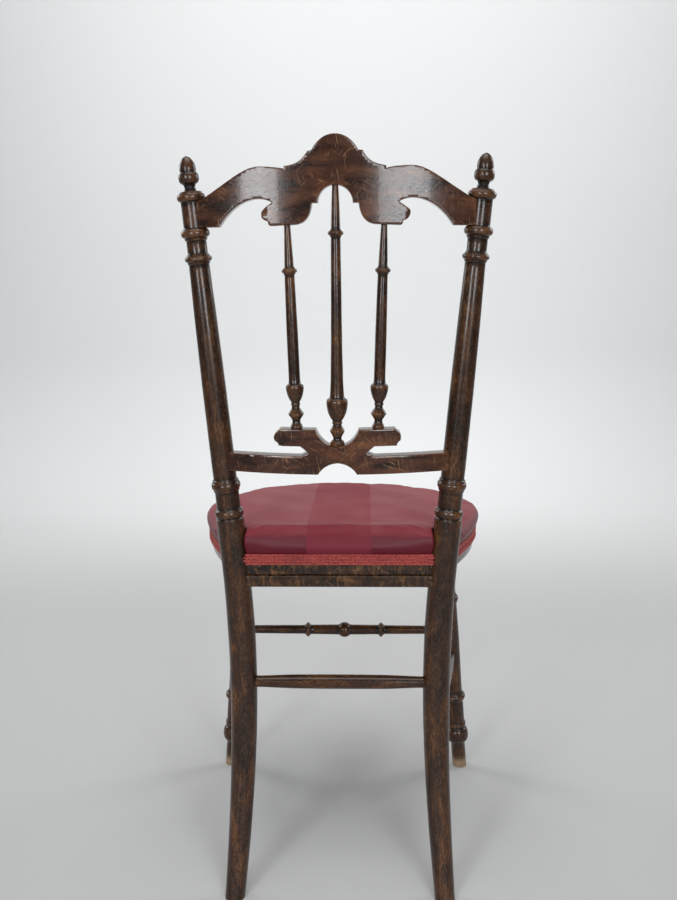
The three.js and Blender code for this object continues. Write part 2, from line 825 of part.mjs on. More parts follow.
shape(
  piece("stuffing", loft(cushionLevels(0)), finishes.hair, seat),
  "subtract",
  ...postCutters,
);
const coverBottom = frameTop - braid.height;
const outer = fit + clothThickness;
const cover = loft([[coverBottom, outer], [frameTop, outer], ...cushionLevels(outer)]);
const hollow = loft([[coverBottom - 5, fit], [frameTop, fit], ...cushionLevels(fit)]);
shape(
  piece("seat_cover", cover, finishes.cloth, seat),
  "subtract",
  piece("", hollow, undefined, bench),
  ...postCutters,
);
const braidLoop = () => {
  const outside = outer + fit + braid.thickness;
  const loop = piece("", seatPrism(outside, coverBottom, braid.height), undefined, bench);
  const inside = seatPrism(outer + fit, coverBottom - 10, braid.height + 20);
  return shape(loop, "subtract", piece("", inside, undefined, bench), ...postCutters);
};
const behind = wedge(mitre, 1, 1, ...tall);
piece("gimp_rear", shape(braidLoop(), "intersect", behind).geometry, finishes.braid, seat);
piece("gimp_front", shape(braidLoop(), "subtract", behind).geometry, finishes.braid, seat);

// The origin lies on the floor under the middle of the whole chair.
chair.position.y = -new THREE.Box3().setFromObject(chair).getCenter(new THREE.Vector3()).y;

export default chair;
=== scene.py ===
"""A worn side chair with turned posts and spindles, a sawn crest rail and a red stuffed seat."""

import math

import bmesh
import bpy
import numpy as np
from mathutils import Matrix, Vector


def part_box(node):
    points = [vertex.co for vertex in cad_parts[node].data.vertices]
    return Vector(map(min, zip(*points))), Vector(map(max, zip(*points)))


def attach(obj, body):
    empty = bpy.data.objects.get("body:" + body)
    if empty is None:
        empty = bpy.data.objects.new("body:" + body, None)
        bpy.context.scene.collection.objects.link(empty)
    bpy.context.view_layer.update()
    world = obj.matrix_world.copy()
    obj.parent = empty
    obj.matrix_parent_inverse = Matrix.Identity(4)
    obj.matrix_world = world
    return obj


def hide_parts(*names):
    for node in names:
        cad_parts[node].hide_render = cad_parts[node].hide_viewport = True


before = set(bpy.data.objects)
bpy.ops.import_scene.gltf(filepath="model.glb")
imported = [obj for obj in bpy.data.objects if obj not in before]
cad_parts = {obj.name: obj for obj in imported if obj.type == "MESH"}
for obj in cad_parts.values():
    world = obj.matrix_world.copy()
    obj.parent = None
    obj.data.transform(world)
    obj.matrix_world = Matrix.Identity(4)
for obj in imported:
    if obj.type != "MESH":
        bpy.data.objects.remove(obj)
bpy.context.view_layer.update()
scene = bpy.context.scene

# Back posts: each one is a single length of beech, turned with its rings and acorn finial,
# then steam bent below the seat to make the rear leg. They are stained dark and varnished,
# and their rings are rubbed pale where hands and walls have touched them.
MM = 0.001
JOINT_HEIGHT = 0.420
POST_SPREAD, POST_DEPTH = 0.131, 0.126
SPLAY, RAKE = math.radians(4.76), math.radians(4.5)
REAR_FOOT = (0.131, 0.186)
LEG_BEND, FOOT_OUTWARD, FOOT_BACKWARD = 0.150, 0.07, 0.33
SEAT_REAR = 0.134
CHAIR_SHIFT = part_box("seat_rail_rear")[1].y - SEAT_REAR  # from the chair's drawing to the CAD frame
POST_FACETS = 48
UNEVENNESS, DENT_SCALE = 0.0003, 55
PROFILE_STEP, EDGE_WEAR, HAND_REACH = 0.2, 1.6, 16  # millimetres, then two widths in steps
FLATNESS, LONGEST_STATION = 0.03, 7  # millimetres
SIDES = (("left", 1), ("right", -1))


def linear(red, green, blue):
    """A colour as the eye sees it, from 0 to 255, as the light that a shader needs."""
    return tuple(
        (c / 3294.6 if c <= 10.31 else ((c / 255 + 0.055) / 1.055) ** 2.4)
        for c in (red, green, blue)
    ) + (1.0,)


class Bench:
    """A node tree, written one node a line."""

    def __init__(self, tree):
        self.nodes, self.links = tree.nodes, tree.links

    def add(self, kind, inputs=None, **settings):
        node = self.nodes.new(kind)
        for key, value in settings.items():
            setattr(node, key, value)
        for key, value in (inputs or {}).items():
            self.put(node.inputs[key], value)
        return node

    def put(self, socket, value):
        if isinstance(value, bpy.types.NodeSocket):
            self.links.new(value, socket)
        else:
            socket.default_value = value

    def math(self, operation, first, second=0.0):
        return self.add("ShaderNodeMath", {0: first, 1: second}, operation=operation).outputs[0]

    def times(self, first, second):
        return self.math("MULTIPLY", first, second)

    def plus(self, first, second):
        return self.math("ADD", first, second)


class Recipe(Bench):
    """A finish, mixed by its nodes and given to one shader."""

    def __init__(self, name):
        self.material = bpy.data.materials.new(name)
        self.material.use_nodes = True
        super().__init__(self.material.node_tree)

    def surface(self, inputs):
        """Fills the shader's sockets and returns the finished material."""
        for key, value in inputs.items():
            self.put(self.nodes["Principled BSDF"].inputs[key], value)
        return self.material

    def between(self, value, low, high):
        """Nothing below low, all above high, and smooth between."""
        inputs = {0: value, 1: low, 2: high}
        return self.add("ShaderNodeMapRange", inputs, interpolation_type="SMOOTHSTEP").outputs[0]

    def mix(self, share, first, second):
        return self.add("ShaderNodeMix", {0: share, 6: first, 7: second}, data_type="RGBA").outputs[2]

    def stretched(self, vector, scale):
        return self.add("ShaderNodeMapping", {0: vector, 3: scale}).outputs[0]

    def noise(self, vector, scale, detail=3.0, rough=0.55, distortion=0.0):
        inputs = {"Vector": vector, "Scale": scale, "Detail": detail, "Roughness": rough}
        return self.add("ShaderNodeTexNoise", {**inputs, "Distortion": distortion}).outputs[0]

    def bump(self, height, depth, strength=1.0, under=None):
        inputs = {"Height": height, "Distance": depth, "Strength": strength}
        if under is not None:
            inputs["Normal"] = under
        return self.add("ShaderNodeBump", inputs).outputs[0]


def stained_wood(name, dark, body, light, worn, fleck=1.0, rub=0.5, scratches=0.0, gloss=0.24, wavy=0.0):
    """Stained and varnished beech. The figure runs along the piece's own grain attribute."""
    make = Recipe(name)
    grain = make.add("ShaderNodeAttribute", attribute_name="grain").outputs["Vector"]
    relief = make.add("ShaderNodeAttribute", attribute_name="relief").outputs["Fac"]
    bare = make.add("ShaderNodeAttribute", attribute_name="bare").outputs["Fac"]
    clouds = make.noise(make.stretched(grain, (1, 1, 0.3)), 58, 4, 0.6, 0.6)
    flecks = make.noise(make.stretched(grain, (1, 1, 0.24)), 900, 3, 0.62)
    fibre = make.noise(make.stretched(grain, (1, 1, 0.02)), 1000, 3, 0.6)
    tone = make.times(clouds, 0.9 - 0.5 * fleck)
    tone = make.plus(tone, make.times(flecks, 0.45 * fleck))
    tone = make.plus(tone, make.times(fibre, 0.1 + 0.05 * fleck))
    colour = make.mix(make.between(tone, 0.40, 0.51), dark, body)
    colour = make.mix(make.times(make.between(tone, 0.51, 0.63), 0.85), colour, light)
    if wavy:
        bands = make.noise(make.stretched(grain, (0.22, 0.3, 1)), 110, 2, 0.5, 2.2)
        colour = make.mix(make.times(make.between(bands, 0.47, 0.53), wavy), colour, dark)
        colour = make.mix(make.times(make.between(bands, 0.42, 0.36), wavy), colour, light)
    pore = make.between(flecks, 0.60, 0.68)
    colour = make.mix(make.times(pore, 0.6), colour, dark)
    patches = make.noise(grain, 20, 3)
    colour = make.mix(make.times(make.between(patches, 0.48, 0.68), 0.5), colour, dark)
    uneven = make.between(make.noise(grain, 130, 4), 0.38, 0.62)
    rubbed = make.times(make.times(make.between(relief, 0.10, 0.6), uneven), rub)
    colour = make.mix(rubbed, colour, worn)
    # Painted shade: the hollows of the turned pieces are darkened towards near black.
    painted_shade = make.times(make.between(relief, -0.08, -0.5), 0.85)
    colour = make.mix(painted_shade, colour, linear(15, 10, 7))
    if scratches:
        for turn, seed in ((0.5, 3.0), (-0.8, 7.0), (1.35, 11.0), (-1.7, 16.0)):
            turned = make.add("ShaderNodeMapping", {0: grain, 1: (seed, seed, seed), 2: (turn, 0, 0)})
            drawn = make.noise(make.stretched(turned.outputs[0], (40, 1100, 45)), 1, 1, 0.3)
            broken = make.between(make.noise(grain, 30 + seed, 2), 0.46, 0.6)
            line = make.times(make.between(drawn, 0.69, 0.73), broken)
            colour = make.mix(make.times(line, scratches), colour, linear(158, 120, 88))
    colour = make.mix(bare, colour, make.mix(clouds, linear(168, 146, 116), linear(112, 90, 66)))
    smear = make.noise(make.stretched(grain, (1, 1, 0.5)), 45, 4, 0.6)
    rough = make.plus(gloss - 0.08, make.times(smear, 0.2))
    rough = make.plus(rough, make.times(rubbed, 0.12))
    rough = make.plus(rough, make.times(bare, 0.35))
    pores = make.bump(make.times(pore, -1.0), 0.00018, 0.6)
    ridges = make.bump(flecks, 0.00026, 0.5, pores)
    return make.surface({
        "Base Color": colour,
        "Roughness": rough,
        "Normal": ridges,
        "Specular IOR Level": 0.28,
        "Coat Weight": 0.22,
        "Coat Roughness": 0.06,
    })


TURNED_WOOD = stained_wood(
    "turned_beech",
    linear(21, 13, 8),
    linear(56, 34, 20),
    linear(116, 74, 36),
    linear(108, 72, 42),
)


def smoothed(values, width):
    """A running average with a bell-shaped weight, in steps of the list's own spacing."""
    reach = max(1, int(3 * width))
    weight = np.exp(-0.5 * (np.arange(-reach, reach + 1) / width) ** 2)
    padded = np.pad(values, reach, mode="edge")
    return np.convolve(padded, weight / weight.sum(), "valid")


def turned_profile(corners):
    """Stations of a turner's drawing in millimetres: height, radius and relief.
    A corner is (height, radius), and a bead is (height, its radius, the radius after it)."""
    heights, radii = [corners[0][0]], [corners[0][1]]
    for corner in corners[1:]:
        start_height, start = heights[-1], radii[-1]
        if len(corner) == 2:
            heights.append(max(corner[0], start_height + 0.02))
            radii.append(corner[1])
            continue
        height, swell, after = corner
        turn = np.linspace(0, math.pi, 25)[1:]
        share = (1 - np.cos(turn)) / 2
        heights.extend(start_height + (height - start_height) * share)
        radii.extend(start + (after - start) * share + (swell - max(start, after)) * np.sin(turn))
    fine = np.arange(heights[0], heights[-1] + 1e-6, PROFILE_STEP)
    cut = np.interp(fine, heights, radii)
    worn = np.maximum(smoothed(cut, EDGE_WEAR), 0.05)
    relief = np.clip((worn - smoothed(cut, HAND_REACH)) / 1.6, -1, 1)
    keep = [0]
    for i in range(1, len(fine) - 1):
        first = keep[-1]
        middle = np.arange(first, i + 2)
        chord = np.interp(middle, [first, i + 1], [worn[first], worn[i + 1]])
        bent = np.abs(chord - worn[middle]).max() > FLATNESS
        if bent or fine[i + 1] - fine[first] > LONGEST_STATION:
            keep.append(i)
    keep.append(len(fine) - 1)
    return fine[keep], worn[keep], relief[keep]


class Jig(Bench):
    """A Geometry Nodes tree with named inputs, which makes a piece along a line."""

    def __init__(self, name, inputs):
        self.tree = bpy.data.node_groups.new(name, "GeometryNodeTree")
        super().__init__(self.tree)
        for socket, kind in inputs.items():
            self.tree.interface.new_socket(socket, in_out="INPUT", socket_type="NodeSocket" + kind)
        self.tree.interface.new_socket("Piece", in_out="OUTPUT", socket_type="NodeSocketGeometry")
        self.given = self.add("NodeGroupInput").outputs
        self.curve = self.add("GeometryNodeMeshToCurve", {0: self.given["Line"]}).outputs[0]

    def finish(self, geometry, material):
        """Smooths the result, makes its instances real and gives it its material."""
        smooth = self.add("GeometryNodeSetShadeSmooth", {"Geometry": geometry})
        real = self.add("GeometryNodeRealizeInstances", {0: smooth.outputs[0]})
        done = self.add("GeometryNodeSetMaterial", {"Geometry": real.outputs[0], "Material": material})
        self.add("NodeGroupOutput", {0: done.outputs[0]})
        return self.tree


def turning_tree():
    """Turns round stock along a line: each point's thick attribute is the radius there."""
    jig = Jig("turning", {
        "Line": "Geometry", "Facets": "Int", "Unevenness": "Float", "Billet": "Vector", "Finish": "Material",
    })

    def named(name):
        return jig.add("GeometryNodeInputNamedAttribute", {"Name": name}).outputs["Attribute"]

    circle = jig.add("GeometryNodeCurvePrimitiveCircle", {"Resolution": jig.given["Facets"], "Radius": 1.0})
    around = jig.add("GeometryNodeStoreNamedAttribute", {
        "Geometry": circle.outputs["Curve"],
        "Name": "around",
        "Value": jig.add("GeometryNodeSplineParameter").outputs["Factor"],
    })
    skin = jig.add("GeometryNodeCurveToMesh", {
        "Curve": jig.curve,
        "Profile Curve": around.outputs["Geometry"],
        "Scale": named("thick"),
        "Fill Caps": True,
    })
    angle = jig.times(named("around"), 2 * math.pi)
    straight = jig.add("ShaderNodeCombineXYZ", {
        0: jig.times(named("thick"), jig.math("COSINE", angle)),
        1: jig.times(named("thick"), jig.math("SINE", angle)),
        2: named("along"),
    })
    sawn = jig.add("ShaderNodeVectorMath", {0: straight.outputs[0], 1: jig.given["Billet"]}).outputs[0]
    grain = jig.add(
        "GeometryNodeStoreNamedAttribute",
        {"Geometry": skin.outputs["Mesh"], "Name": "grain", "Value": sawn},
        data_type="FLOAT_VECTOR",
    )
    dents = jig.add("ShaderNodeTexNoise", {"Vector": sawn, "Scale": DENT_SCALE}).outputs[0]
    depth = jig.times(jig.math("SUBTRACT", dents, 0.5), jig.given["Unevenness"])
    normal = jig.add("GeometryNodeInputNormal").outputs[0]
    push = jig.add("ShaderNodeVectorMath", {0: normal, "Scale": depth}, operation="SCALE").outputs[0]
    moved = jig.add("GeometryNodeSetPosition", {"Geometry": grain.outputs["Geometry"], "Offset": push})
    return jig.finish(moved.outputs[0], jig.given["Finish"])


TURNING = turning_tree()


def added(name, mesh):
    """A mesh as an object of the scene."""
    thing = bpy.data.objects.new(name, mesh)
    scene.collection.objects.link(thing)
    return thing


def plain_mesh(thing):
    """What an object's modifiers make of it, as a mesh. The object goes."""
    bpy.context.view_layer.update()
    depsgraph = bpy.context.evaluated_depsgraph_get()
    mesh = bpy.data.meshes.new_from_object(thing.evaluated_get(depsgraph), depsgraph=depsgraph)
    bpy.data.objects.remove(thing)
    return mesh


def drawn_line(name, points):
    line = bpy.data.meshes.new(name + "_line")
    line.from_pydata(points, [(i, i + 1) for i in range(len(points) - 1)], [])
    return line


def made_along(line, tree, inputs):
    """Runs a node tree along a line and returns the result as a plain mesh."""
    blank = added(line.name, line)
    modifier = blank.modifiers.new("nodes", "NODES")
    modifier.node_group = tree
    for item in tree.interface.items_tree:
        if item.item_type == "SOCKET" and item.in_out == "INPUT" and item.name in inputs:
            modifier[item.identifier] = inputs[item.name]
    return plain_mesh(blank)


def write_attribute(mesh, name, values):
    kind, key = ("FLOAT_VECTOR", "vector") if values.ndim == 2 else ("FLOAT", "value")
    mesh.attributes.new(name, kind, "POINT").data.foreach_set(key, values.astype(np.float32).ravel())


def fitted(name, mesh, slot, *replaced):
    """Puts a finished mesh in the chair in place of its CAD nodes."""
    piece = added(name, mesh)
    mesh.name = name
    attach(piece, "root")
    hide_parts(*replaced)
    return piece


def sawn_at_floor(mesh):
    """Cuts a leg level with the floor and closes the cut."""
    form = bmesh.new()
    form.from_mesh(mesh)
    everything = form.verts[:] + form.edges[:] + form.faces[:]
    bmesh.ops.bisect_plane(form, geom=everything, plane_co=(0, 0, 0), plane_no=(0, 0, -1), clear_outer=True)
    open_edges = [e for e in form.edges if e.is_boundary]
    sole = bmesh.ops.contextual_create(form, geom=open_edges)["faces"]
    for face in sole:
        face.smooth = False
    bmesh.ops.triangulate(form, faces=sole)
    form.to_mesh(mesh)
    form.free()


def turned_piece(name, corners, place, facets, billet, bare=None, saw=False):
    """Turns a profile, lays it on an axis and fits it. place gives the axis at a height in metres."""
    heights, radii, relief = turned_profile(corners)
    line = drawn_line(name, [place(h * MM) for h in heights])
    write_attribute(line, "thick", radii * MM)
    write_attribute(line, "relief", relief)
    write_attribute(line, "along", heights * MM)
    write_attribute(line, "bare", np.zeros(len(heights)) if bare is None else bare(heights))
    inputs = {"Facets": facets, "Unevenness": UNEVENNESS, "Billet": billet, "Finish": TURNED_WOOD}
    mesh = made_along(line, TURNING, inputs)
    if saw:
        sawn_at_floor(mesh)
    fitted(name, mesh, "turned_wood", name)


def cubic(t, marks):
    """A curve from the first mark to the fourth, pulled by the two between."""
    weights = [(1 - t) ** 3, 3 * t * (1 - t) ** 2, 3 * t * t * (1 - t), t ** 3]
    return sum(w * m for w, m in zip(weights, marks))


def run_lengths(points):
    """The distance along a line from its start to each of its points."""
    return np.concatenate([[0], np.cumsum(np.linalg.norm(np.diff(points, axis=0), axis=1))])


def post_axis(hand):
    """The bent post's axis as a function of the length above the seat joint."""
    joint = np.array([hand * POST_SPREAD, POST_DEPTH, JOINT_HEIGHT])
    up = np.array([hand * math.sin(SPLAY), math.cos(SPLAY) * math.sin(RAKE), math.cos(SPLAY) * math.cos(RAKE)])
    foot = np.array([hand * REAR_FOOT[0], REAR_FOOT[1], 0])
    rising = np.array([-hand * FOOT_OUTWARD, -FOOT_BACKWARD, 1])
    pulls = [joint, joint - up * LEG_BEND, foot + rising * LEG_BEND, foot]
    curve = cubic(np.linspace(0, 1, 1500)[:, None], pulls)
    lengths = run_lengths(curve)
    shift = np.array([0, CHAIR_SHIFT, 0])

    def at(length):
        if length >= 0:
            return joint + up * length + shift
        below = min(-length, lengths[-1])
        point = np.array([np.interp(below, lengths, curve[:, k]) for k in range(3)])
        past = max(0.0, -length - lengths[-1])
        return point - rising / np.linalg.norm(rising) * past + shift

    return at, lengths[-1] / MM, curve + shift


leg_curves = {}
for side, hand in SIDES:
    axis, leg, leg_curves[side] = post_axis(hand)
    post_corners = [
        (-leg - 12, 12.2), (-leg, 12.4), (-leg * 0.84, 14), (-leg * 0.71, 15), (-leg * 0.53, 16.4),
        (-leg * 0.4, 17.1), (-leg * 0.2, 17.4), (-41, 17), (52, 17),
        (53, 15.7), (54.2, 15.7), (63.5, 17.7, 15.7), (64.2, 15.7), (64.6, 14.7), (87, 14.7),
        (87.4, 16), (89.8, 16), (90, 15.6), (99, 17.9, 15.6), (99.2, 16), (101.6, 16), (102.2, 14.4),
        (118, 14.5), (210, 14.3), (296, 13.3), (362, 12),
        (362.4, 13.2), (364.8, 13.2), (371.4, 15.9, 13.2), (373.6, 12.8), (374, 11.7), (389, 11.7),
        (389.4, 13.1), (392.4, 13.1), (402.4, 17, 12.7), (433, 12.6),
        (442, 16.6, 13.2), (444, 12.9), (444.6, 7.6), (449, 6.2), (452, 7.2), (453, 8.8),
        (465, 12, 9.2), (466, 9.1), (469, 9.6), (474, 8.9), (478, 7.2), (481, 5), (482.8, 2.6), (483.5, 0.2),
    ]
    billet = (0.3 * hand, 0.2, 0.5 * hand)
    turned_piece(f"{side}_back_post", post_corners, axis, POST_FACETS, billet, saw=True)

# Back rails: two beech boards bent backwards between the posts and sawn to a pattern. The crest
# has a dome, two humped arms and scrolled lobes, and the lower rail has wings under the outer spindles.
# Both are tenoned into the posts. Their faces are scratched, and their sawn edges rubbed.
BACK_BOW = 0.026
BOARD_THICKNESS = 0.018
CREST_FOOT = 402.5 * math.cos(SPLAY) + 1  # millimetres up the rake from the seat joint
LOWER_FOOT = 115.0
BOARD_GRID = 0.003
OUTLINE_STEP, EASED_EDGE = 0.0015, 0.0009
BOARD_CORE = 0.0045  # rings of the sawn edge, either side of its middle
RUBBED_RIM = 0.003
SHARP = math.radians(42)
QUARTER = 0.5523

SAWN_WOOD = stained_wood(
    "sawn_beech",
    linear(32, 18, 13),
    linear(66, 39, 27),
    linear(98, 61, 39),
    linear(120, 82, 54),
    fleck=0.45,
    scratches=0.6,
    gloss=0.14,
)


def pattern(strokes, steps=24):
    """A sawn outline from pen strokes: two numbers draw a line, four or six a curve."""
    points = [np.array(strokes[0], float)]
    t = np.linspace(0, 1, steps + 1)[1:, None]
    for stroke in strokes[1:]:
        marks = [points[-1]] + [np.array(stroke[i:i + 2], float) for i in range(0, len(stroke), 2)]
        if len(marks) == 2:
            points.append(marks[1])
        elif len(marks) == 3:
            points.extend((1 - t) ** 2 * marks[0] + 2 * t * (1 - t) * marks[1] + t * t * marks[2])
        else:
            points.extend(cubic(t, marks))
    return np.array(points)


def vectors(items, key):
    """A vector of every item of a mesh, as rows."""
    values = np.empty(len(items) * 3, np.float32)
    items.foreach_get(key, values)
    return values.reshape(-1, 3).astype(float)


def smooth_faces(mesh):
    mesh.polygons.foreach_set("use_smooth", np.ones(len(mesh.polygons), bool))


def moved_to(mesh, points):
    mesh.vertices.foreach_set("co", points.astype(np.float32).ravel())
    mesh.update()
    smooth_faces(mesh)


def in_back(x, y, z):
    """Points of the leaning back, in metres, in the chair's frame."""
    return np.array([
        x,
        POST_DEPTH + CHAIR_SHIFT + y * math.cos(RAKE) + z * math.sin(RAKE),
        JOINT_HEIGHT - y * math.sin(RAKE) + z * math.cos(RAKE),
    ]).T


def inset(outline, distance):
    """A closed outline, drawn anticlockwise, moved inwards by a distance."""
    before, after = outline - np.roll(outline, 1, 0), np.roll(outline, -1, 0) - outline
    before /= np.linalg.norm(before, axis=1)[:, None]
    after /= np.linalg.norm(after, axis=1)[:, None]
    inward = np.stack([-(before + after)[:, 1], (before + after)[:, 0]], 1)
    inward /= np.linalg.norm(inward, axis=1)[:, None]
    square = np.maximum((inward * np.stack([-after[:, 1], after[:, 0]], 1)).sum(1), 0.6)
    return outline + inward * (distance / square)[:, None]


def fine_outline(half):
    """The whole outline from its right half, with no side longer than a step."""
    other = half[half[:, 0] > 1e-6][::-1] * (-1, 1)
    corners = np.concatenate([half, other]) * MM
    points = []
    for a, b in zip(corners, np.roll(corners, -1, 0)):
        parts = max(1, math.ceil(np.linalg.norm(b - a) / OUTLINE_STEP))
        points += [a + (b - a) * k / parts for k in range(parts)]
    points = np.array([p for i, p in enumerate(points) if np.linalg.norm(p - points[i - 1]) > 2e-5])
    x, z = points.T
    return points if (x * np.roll(z, -1) - np.roll(x, -1) * z).sum() > 0 else points[::-1]


def bent_board(name, half, foot, height, chips):
    """Saws a mirrored outline from a flat board, eases its edges, bends it and leans it back.
    Returns how far the bend takes the board back at each x."""
    outline = fine_outline(half)
    count, deep = len(outline), BOARD_THICKNESS / 2
    ease = EASED_EDGE
    rings = [(ease, deep), (ease * 0.3, deep - ease * 0.3), (0, deep - ease)]
    rings += [(0, y) for y in (BOARD_CORE, 0, -BOARD_CORE)]
    rings += [(0, ease - deep), (ease * 0.3, ease * 0.3 - deep), (ease, -deep)]
    form = bmesh.new()
    rows = []
    for distance, y in rings:
        ring = inset(outline, distance) if distance else outline
        rows.append([form.verts.new((x, y, z)) for x, z in ring])
    for upper, below in zip(rows, rows[1:]):
        for i in range(count):
            form.faces.new([upper[i - 1], upper[i], below[i], below[i - 1]])
    faces = [form.faces.new(rows[0]), form.faces.new(rows[-1][::-1])]
    bmesh.ops.recalc_face_normals(form, faces=form.faces[:])
    low, high = outline.min(0), outline.max(0)
    for axis, direction in ((0, (1, 0, 0)), (1, (0, 0, 1))):
        for cut in np.arange(low[axis] + 0.001, high[axis], BOARD_GRID):
            region = set(faces)
            for face in faces:
                region.update(face.verts, face.edges)
            place = (cut, 0, 0) if axis == 0 else (0, 0, cut)
            split = bmesh.ops.bisect_plane(form, geom=list(region), plane_co=place, plane_no=direction)
            faces = [f for f in split["geom"] if isinstance(f, bmesh.types.BMFace)]
    bmesh.ops.triangulate(form, faces=[f for f in form.faces if len(f.verts) > 4])
    mesh = bpy.data.meshes.new(name)
    form.to_mesh(mesh)
    form.free()
    points = vectors(mesh.vertices, "co")
    for cx, cy, cz, reach, depth in chips:
        distance = np.linalg.norm(points - np.array([cx, cy, cz]) * MM, axis=1)
        near = np.clip(1 - distance / (reach * MM), 0, 1)
        points -= vectors(mesh.vertices, "normal") * (near ** 0.7 * depth * MM)[:, None]
    to_edge = np.array([np.hypot(*(outline - p).T).min() for p in points[:, [0, 2]]])
    rim = 1 - np.clip(to_edge / RUBBED_RIM, 0, 1)
    write_attribute(mesh, "relief", 0.8 * rim ** 2 * (np.abs(points[:, 1]) > 0.006))
    write_attribute(mesh, "grain", points[:, [1, 2, 0]] + (0.11 * foot * MM, 0, 0.4))
    span = POST_SPREAD + (foot + height / 2) * MM * math.tan(SPLAY)
    radius = (span ** 2 + BACK_BOW ** 2) / (2 * BACK_BOW)

    def bow(x):
        return BACK_BOW - radius + np.sqrt(radius ** 2 - x ** 2)

    x, y, z = points.T
    moved_to(mesh, in_back(x, y + bow(x), z + foot * MM))
    mesh.set_sharp_from_angle(angle=SHARP)
    mesh.materials.append(SAWN_WOOD)
    fitted(name, mesh, "sawn_wood", name)
    return bow


ARCH, ARCH_FOOT, LOBE_FOOT, CREST_TOP = 19.5, 25.0, 1.5, 98.5
crest_span = (POST_SPREAD + (CREST_FOOT + 15) * MM * math.tan(SPLAY)) / MM
crest_half = pattern([
    (0, ARCH_FOOT + ARCH),
    (ARCH * QUARTER, ARCH_FOOT + ARCH, ARCH, ARCH_FOOT + ARCH * QUARTER, ARCH, ARCH_FOOT),
    (26, ARCH_FOOT),
    (28, 10, 34, LOBE_FOOT, 48, LOBE_FOOT),
    (73.5, LOBE_FOOT - 1),
    (76.2, 1.5, 76.3, 5.8),
    (83, 6, 88, 15, 82, 19),
    (71.3, 26),
    (78, 30.5, 87, 30.5),
    (106, 30.5, crest_span - 43, 17, crest_span - 32, 0),
    (crest_span - 6, 0),
    (crest_span - 6, 29),
    (crest_span - 13, 31.5),
    (crest_span - 47, 51, 103, 65.2, 85, 65.2),
    (70, 64.8, 57, 62.4),
    (57, 65.2),
    (37.5, 66, 31, 81),
    (26, 81.3),
    (20, 92, 11, CREST_TOP, 0, CREST_TOP),
])
CREST_CHIPS = [  # place, reach and depth in millimetres
    (83, 8, 16, 6, 1.6), (79, -8, 24, 5, 1.2), (31, 8, 80, 4, 0.8), (-57, 9, 65, 4, 0.9), (-84, 9, 12, 5, 1.0),
]
crest_depth = bent_board("crest_rail", crest_half, CREST_FOOT, 30, CREST_CHIPS)

WING_TOP, WING_FLOOR = 54.3, 33.7
lower_span = (POST_SPREAD + (LOWER_FOOT + 11) * MM * math.tan(SPLAY)) / MM
lower_half = pattern([
    (0, 14),
    (15, 13, 23.2, 0),
    (lower_span - 8, 0),
    (lower_span - 8, 22),
    (44, 22),
    (34.7, 26.5),
    (44, 34),
    (70.4, 34),
    (70.6, 38, 74.5, 40),
    (76.5, 43, 76, 49, 71, 51),
    (68.4, WING_TOP),
    (25.3, WING_TOP),
    (20, 40, 10, WING_FLOOR, 0, WING_FLOOR),
])
LOWER_CHIPS = [(-75, 9, 45, 4, 0.9), (100, 9, 22, 5, 0.7), (70, 9, 35, 4, 0.8)]
lower_depth = bent_board("lower_back_rail", lower_half, LOWER_FOOT, 22, LOWER_CHIPS)

# Spindles: three thin turned rods with an urn, a bead and a ring, stained like the posts.
# Their round ends are pushed into holes drilled in the two back rails.
SPINDLE_FACETS = 40
SPINDLE_FEET, SPINDLE_HEADS = 48.3, 54.9  # millimetres either side of the centre spindle


def straight_turning(name, start, end, corners, facets, billet, **wear):
    """Turns a piece on a straight axis. corners gives the profile for a length in millimetres."""
    length = np.linalg.norm(end - start)
    direction = (end - start) / length
    turned_piece(name, corners(length / MM), lambda h: start + direction * h, facets, billet, **wear)


straight_turning(
    "centre_spindle",
    in_back(0, lower_depth(0), (LOWER_FOOT + WING_FLOOR) * MM),
    in_back(0, crest_depth(0), (CREST_FOOT + ARCH_FOOT + ARCH) * MM),
    lambda span: [
        (-6, 4.2), (-0.2, 4.2), (0, 7.6), (1, 8.4), (4.4, 8.5), (6, 7.4), (7.4, 5.2), (9.6, 4.9), (11, 5.4),
        (17.4, 8.7), (18.6, 8.7), (24.6, 5.4), (26, 5), (27, 6.2), (28.6, 6.3), (29.8, 5.4), (31, 5.9),
        (34, 8.2), (38, 10.1), (42, 11.4), (47, 12.3), (51, 12.6), (54, 12.5), (56, 11.7), (56.8, 9.4),
        (59, 8.5), (62, 8.2), (77, 7.4), (118, 6.6), (172, 6.1), (span - 57, 5.5), (span - 56.4, 6.6),
        (span - 54.8, 6.6), (span - 49.8, 9, 6.6), (span - 48.4, 6.5), (span - 47.8, 5.4), (span - 22, 4.6),
        (span - 2, 3.6), (span + 6, 3.5),
    ],
    SPINDLE_FACETS,
    (0.9, 0.1, 0.7),
)
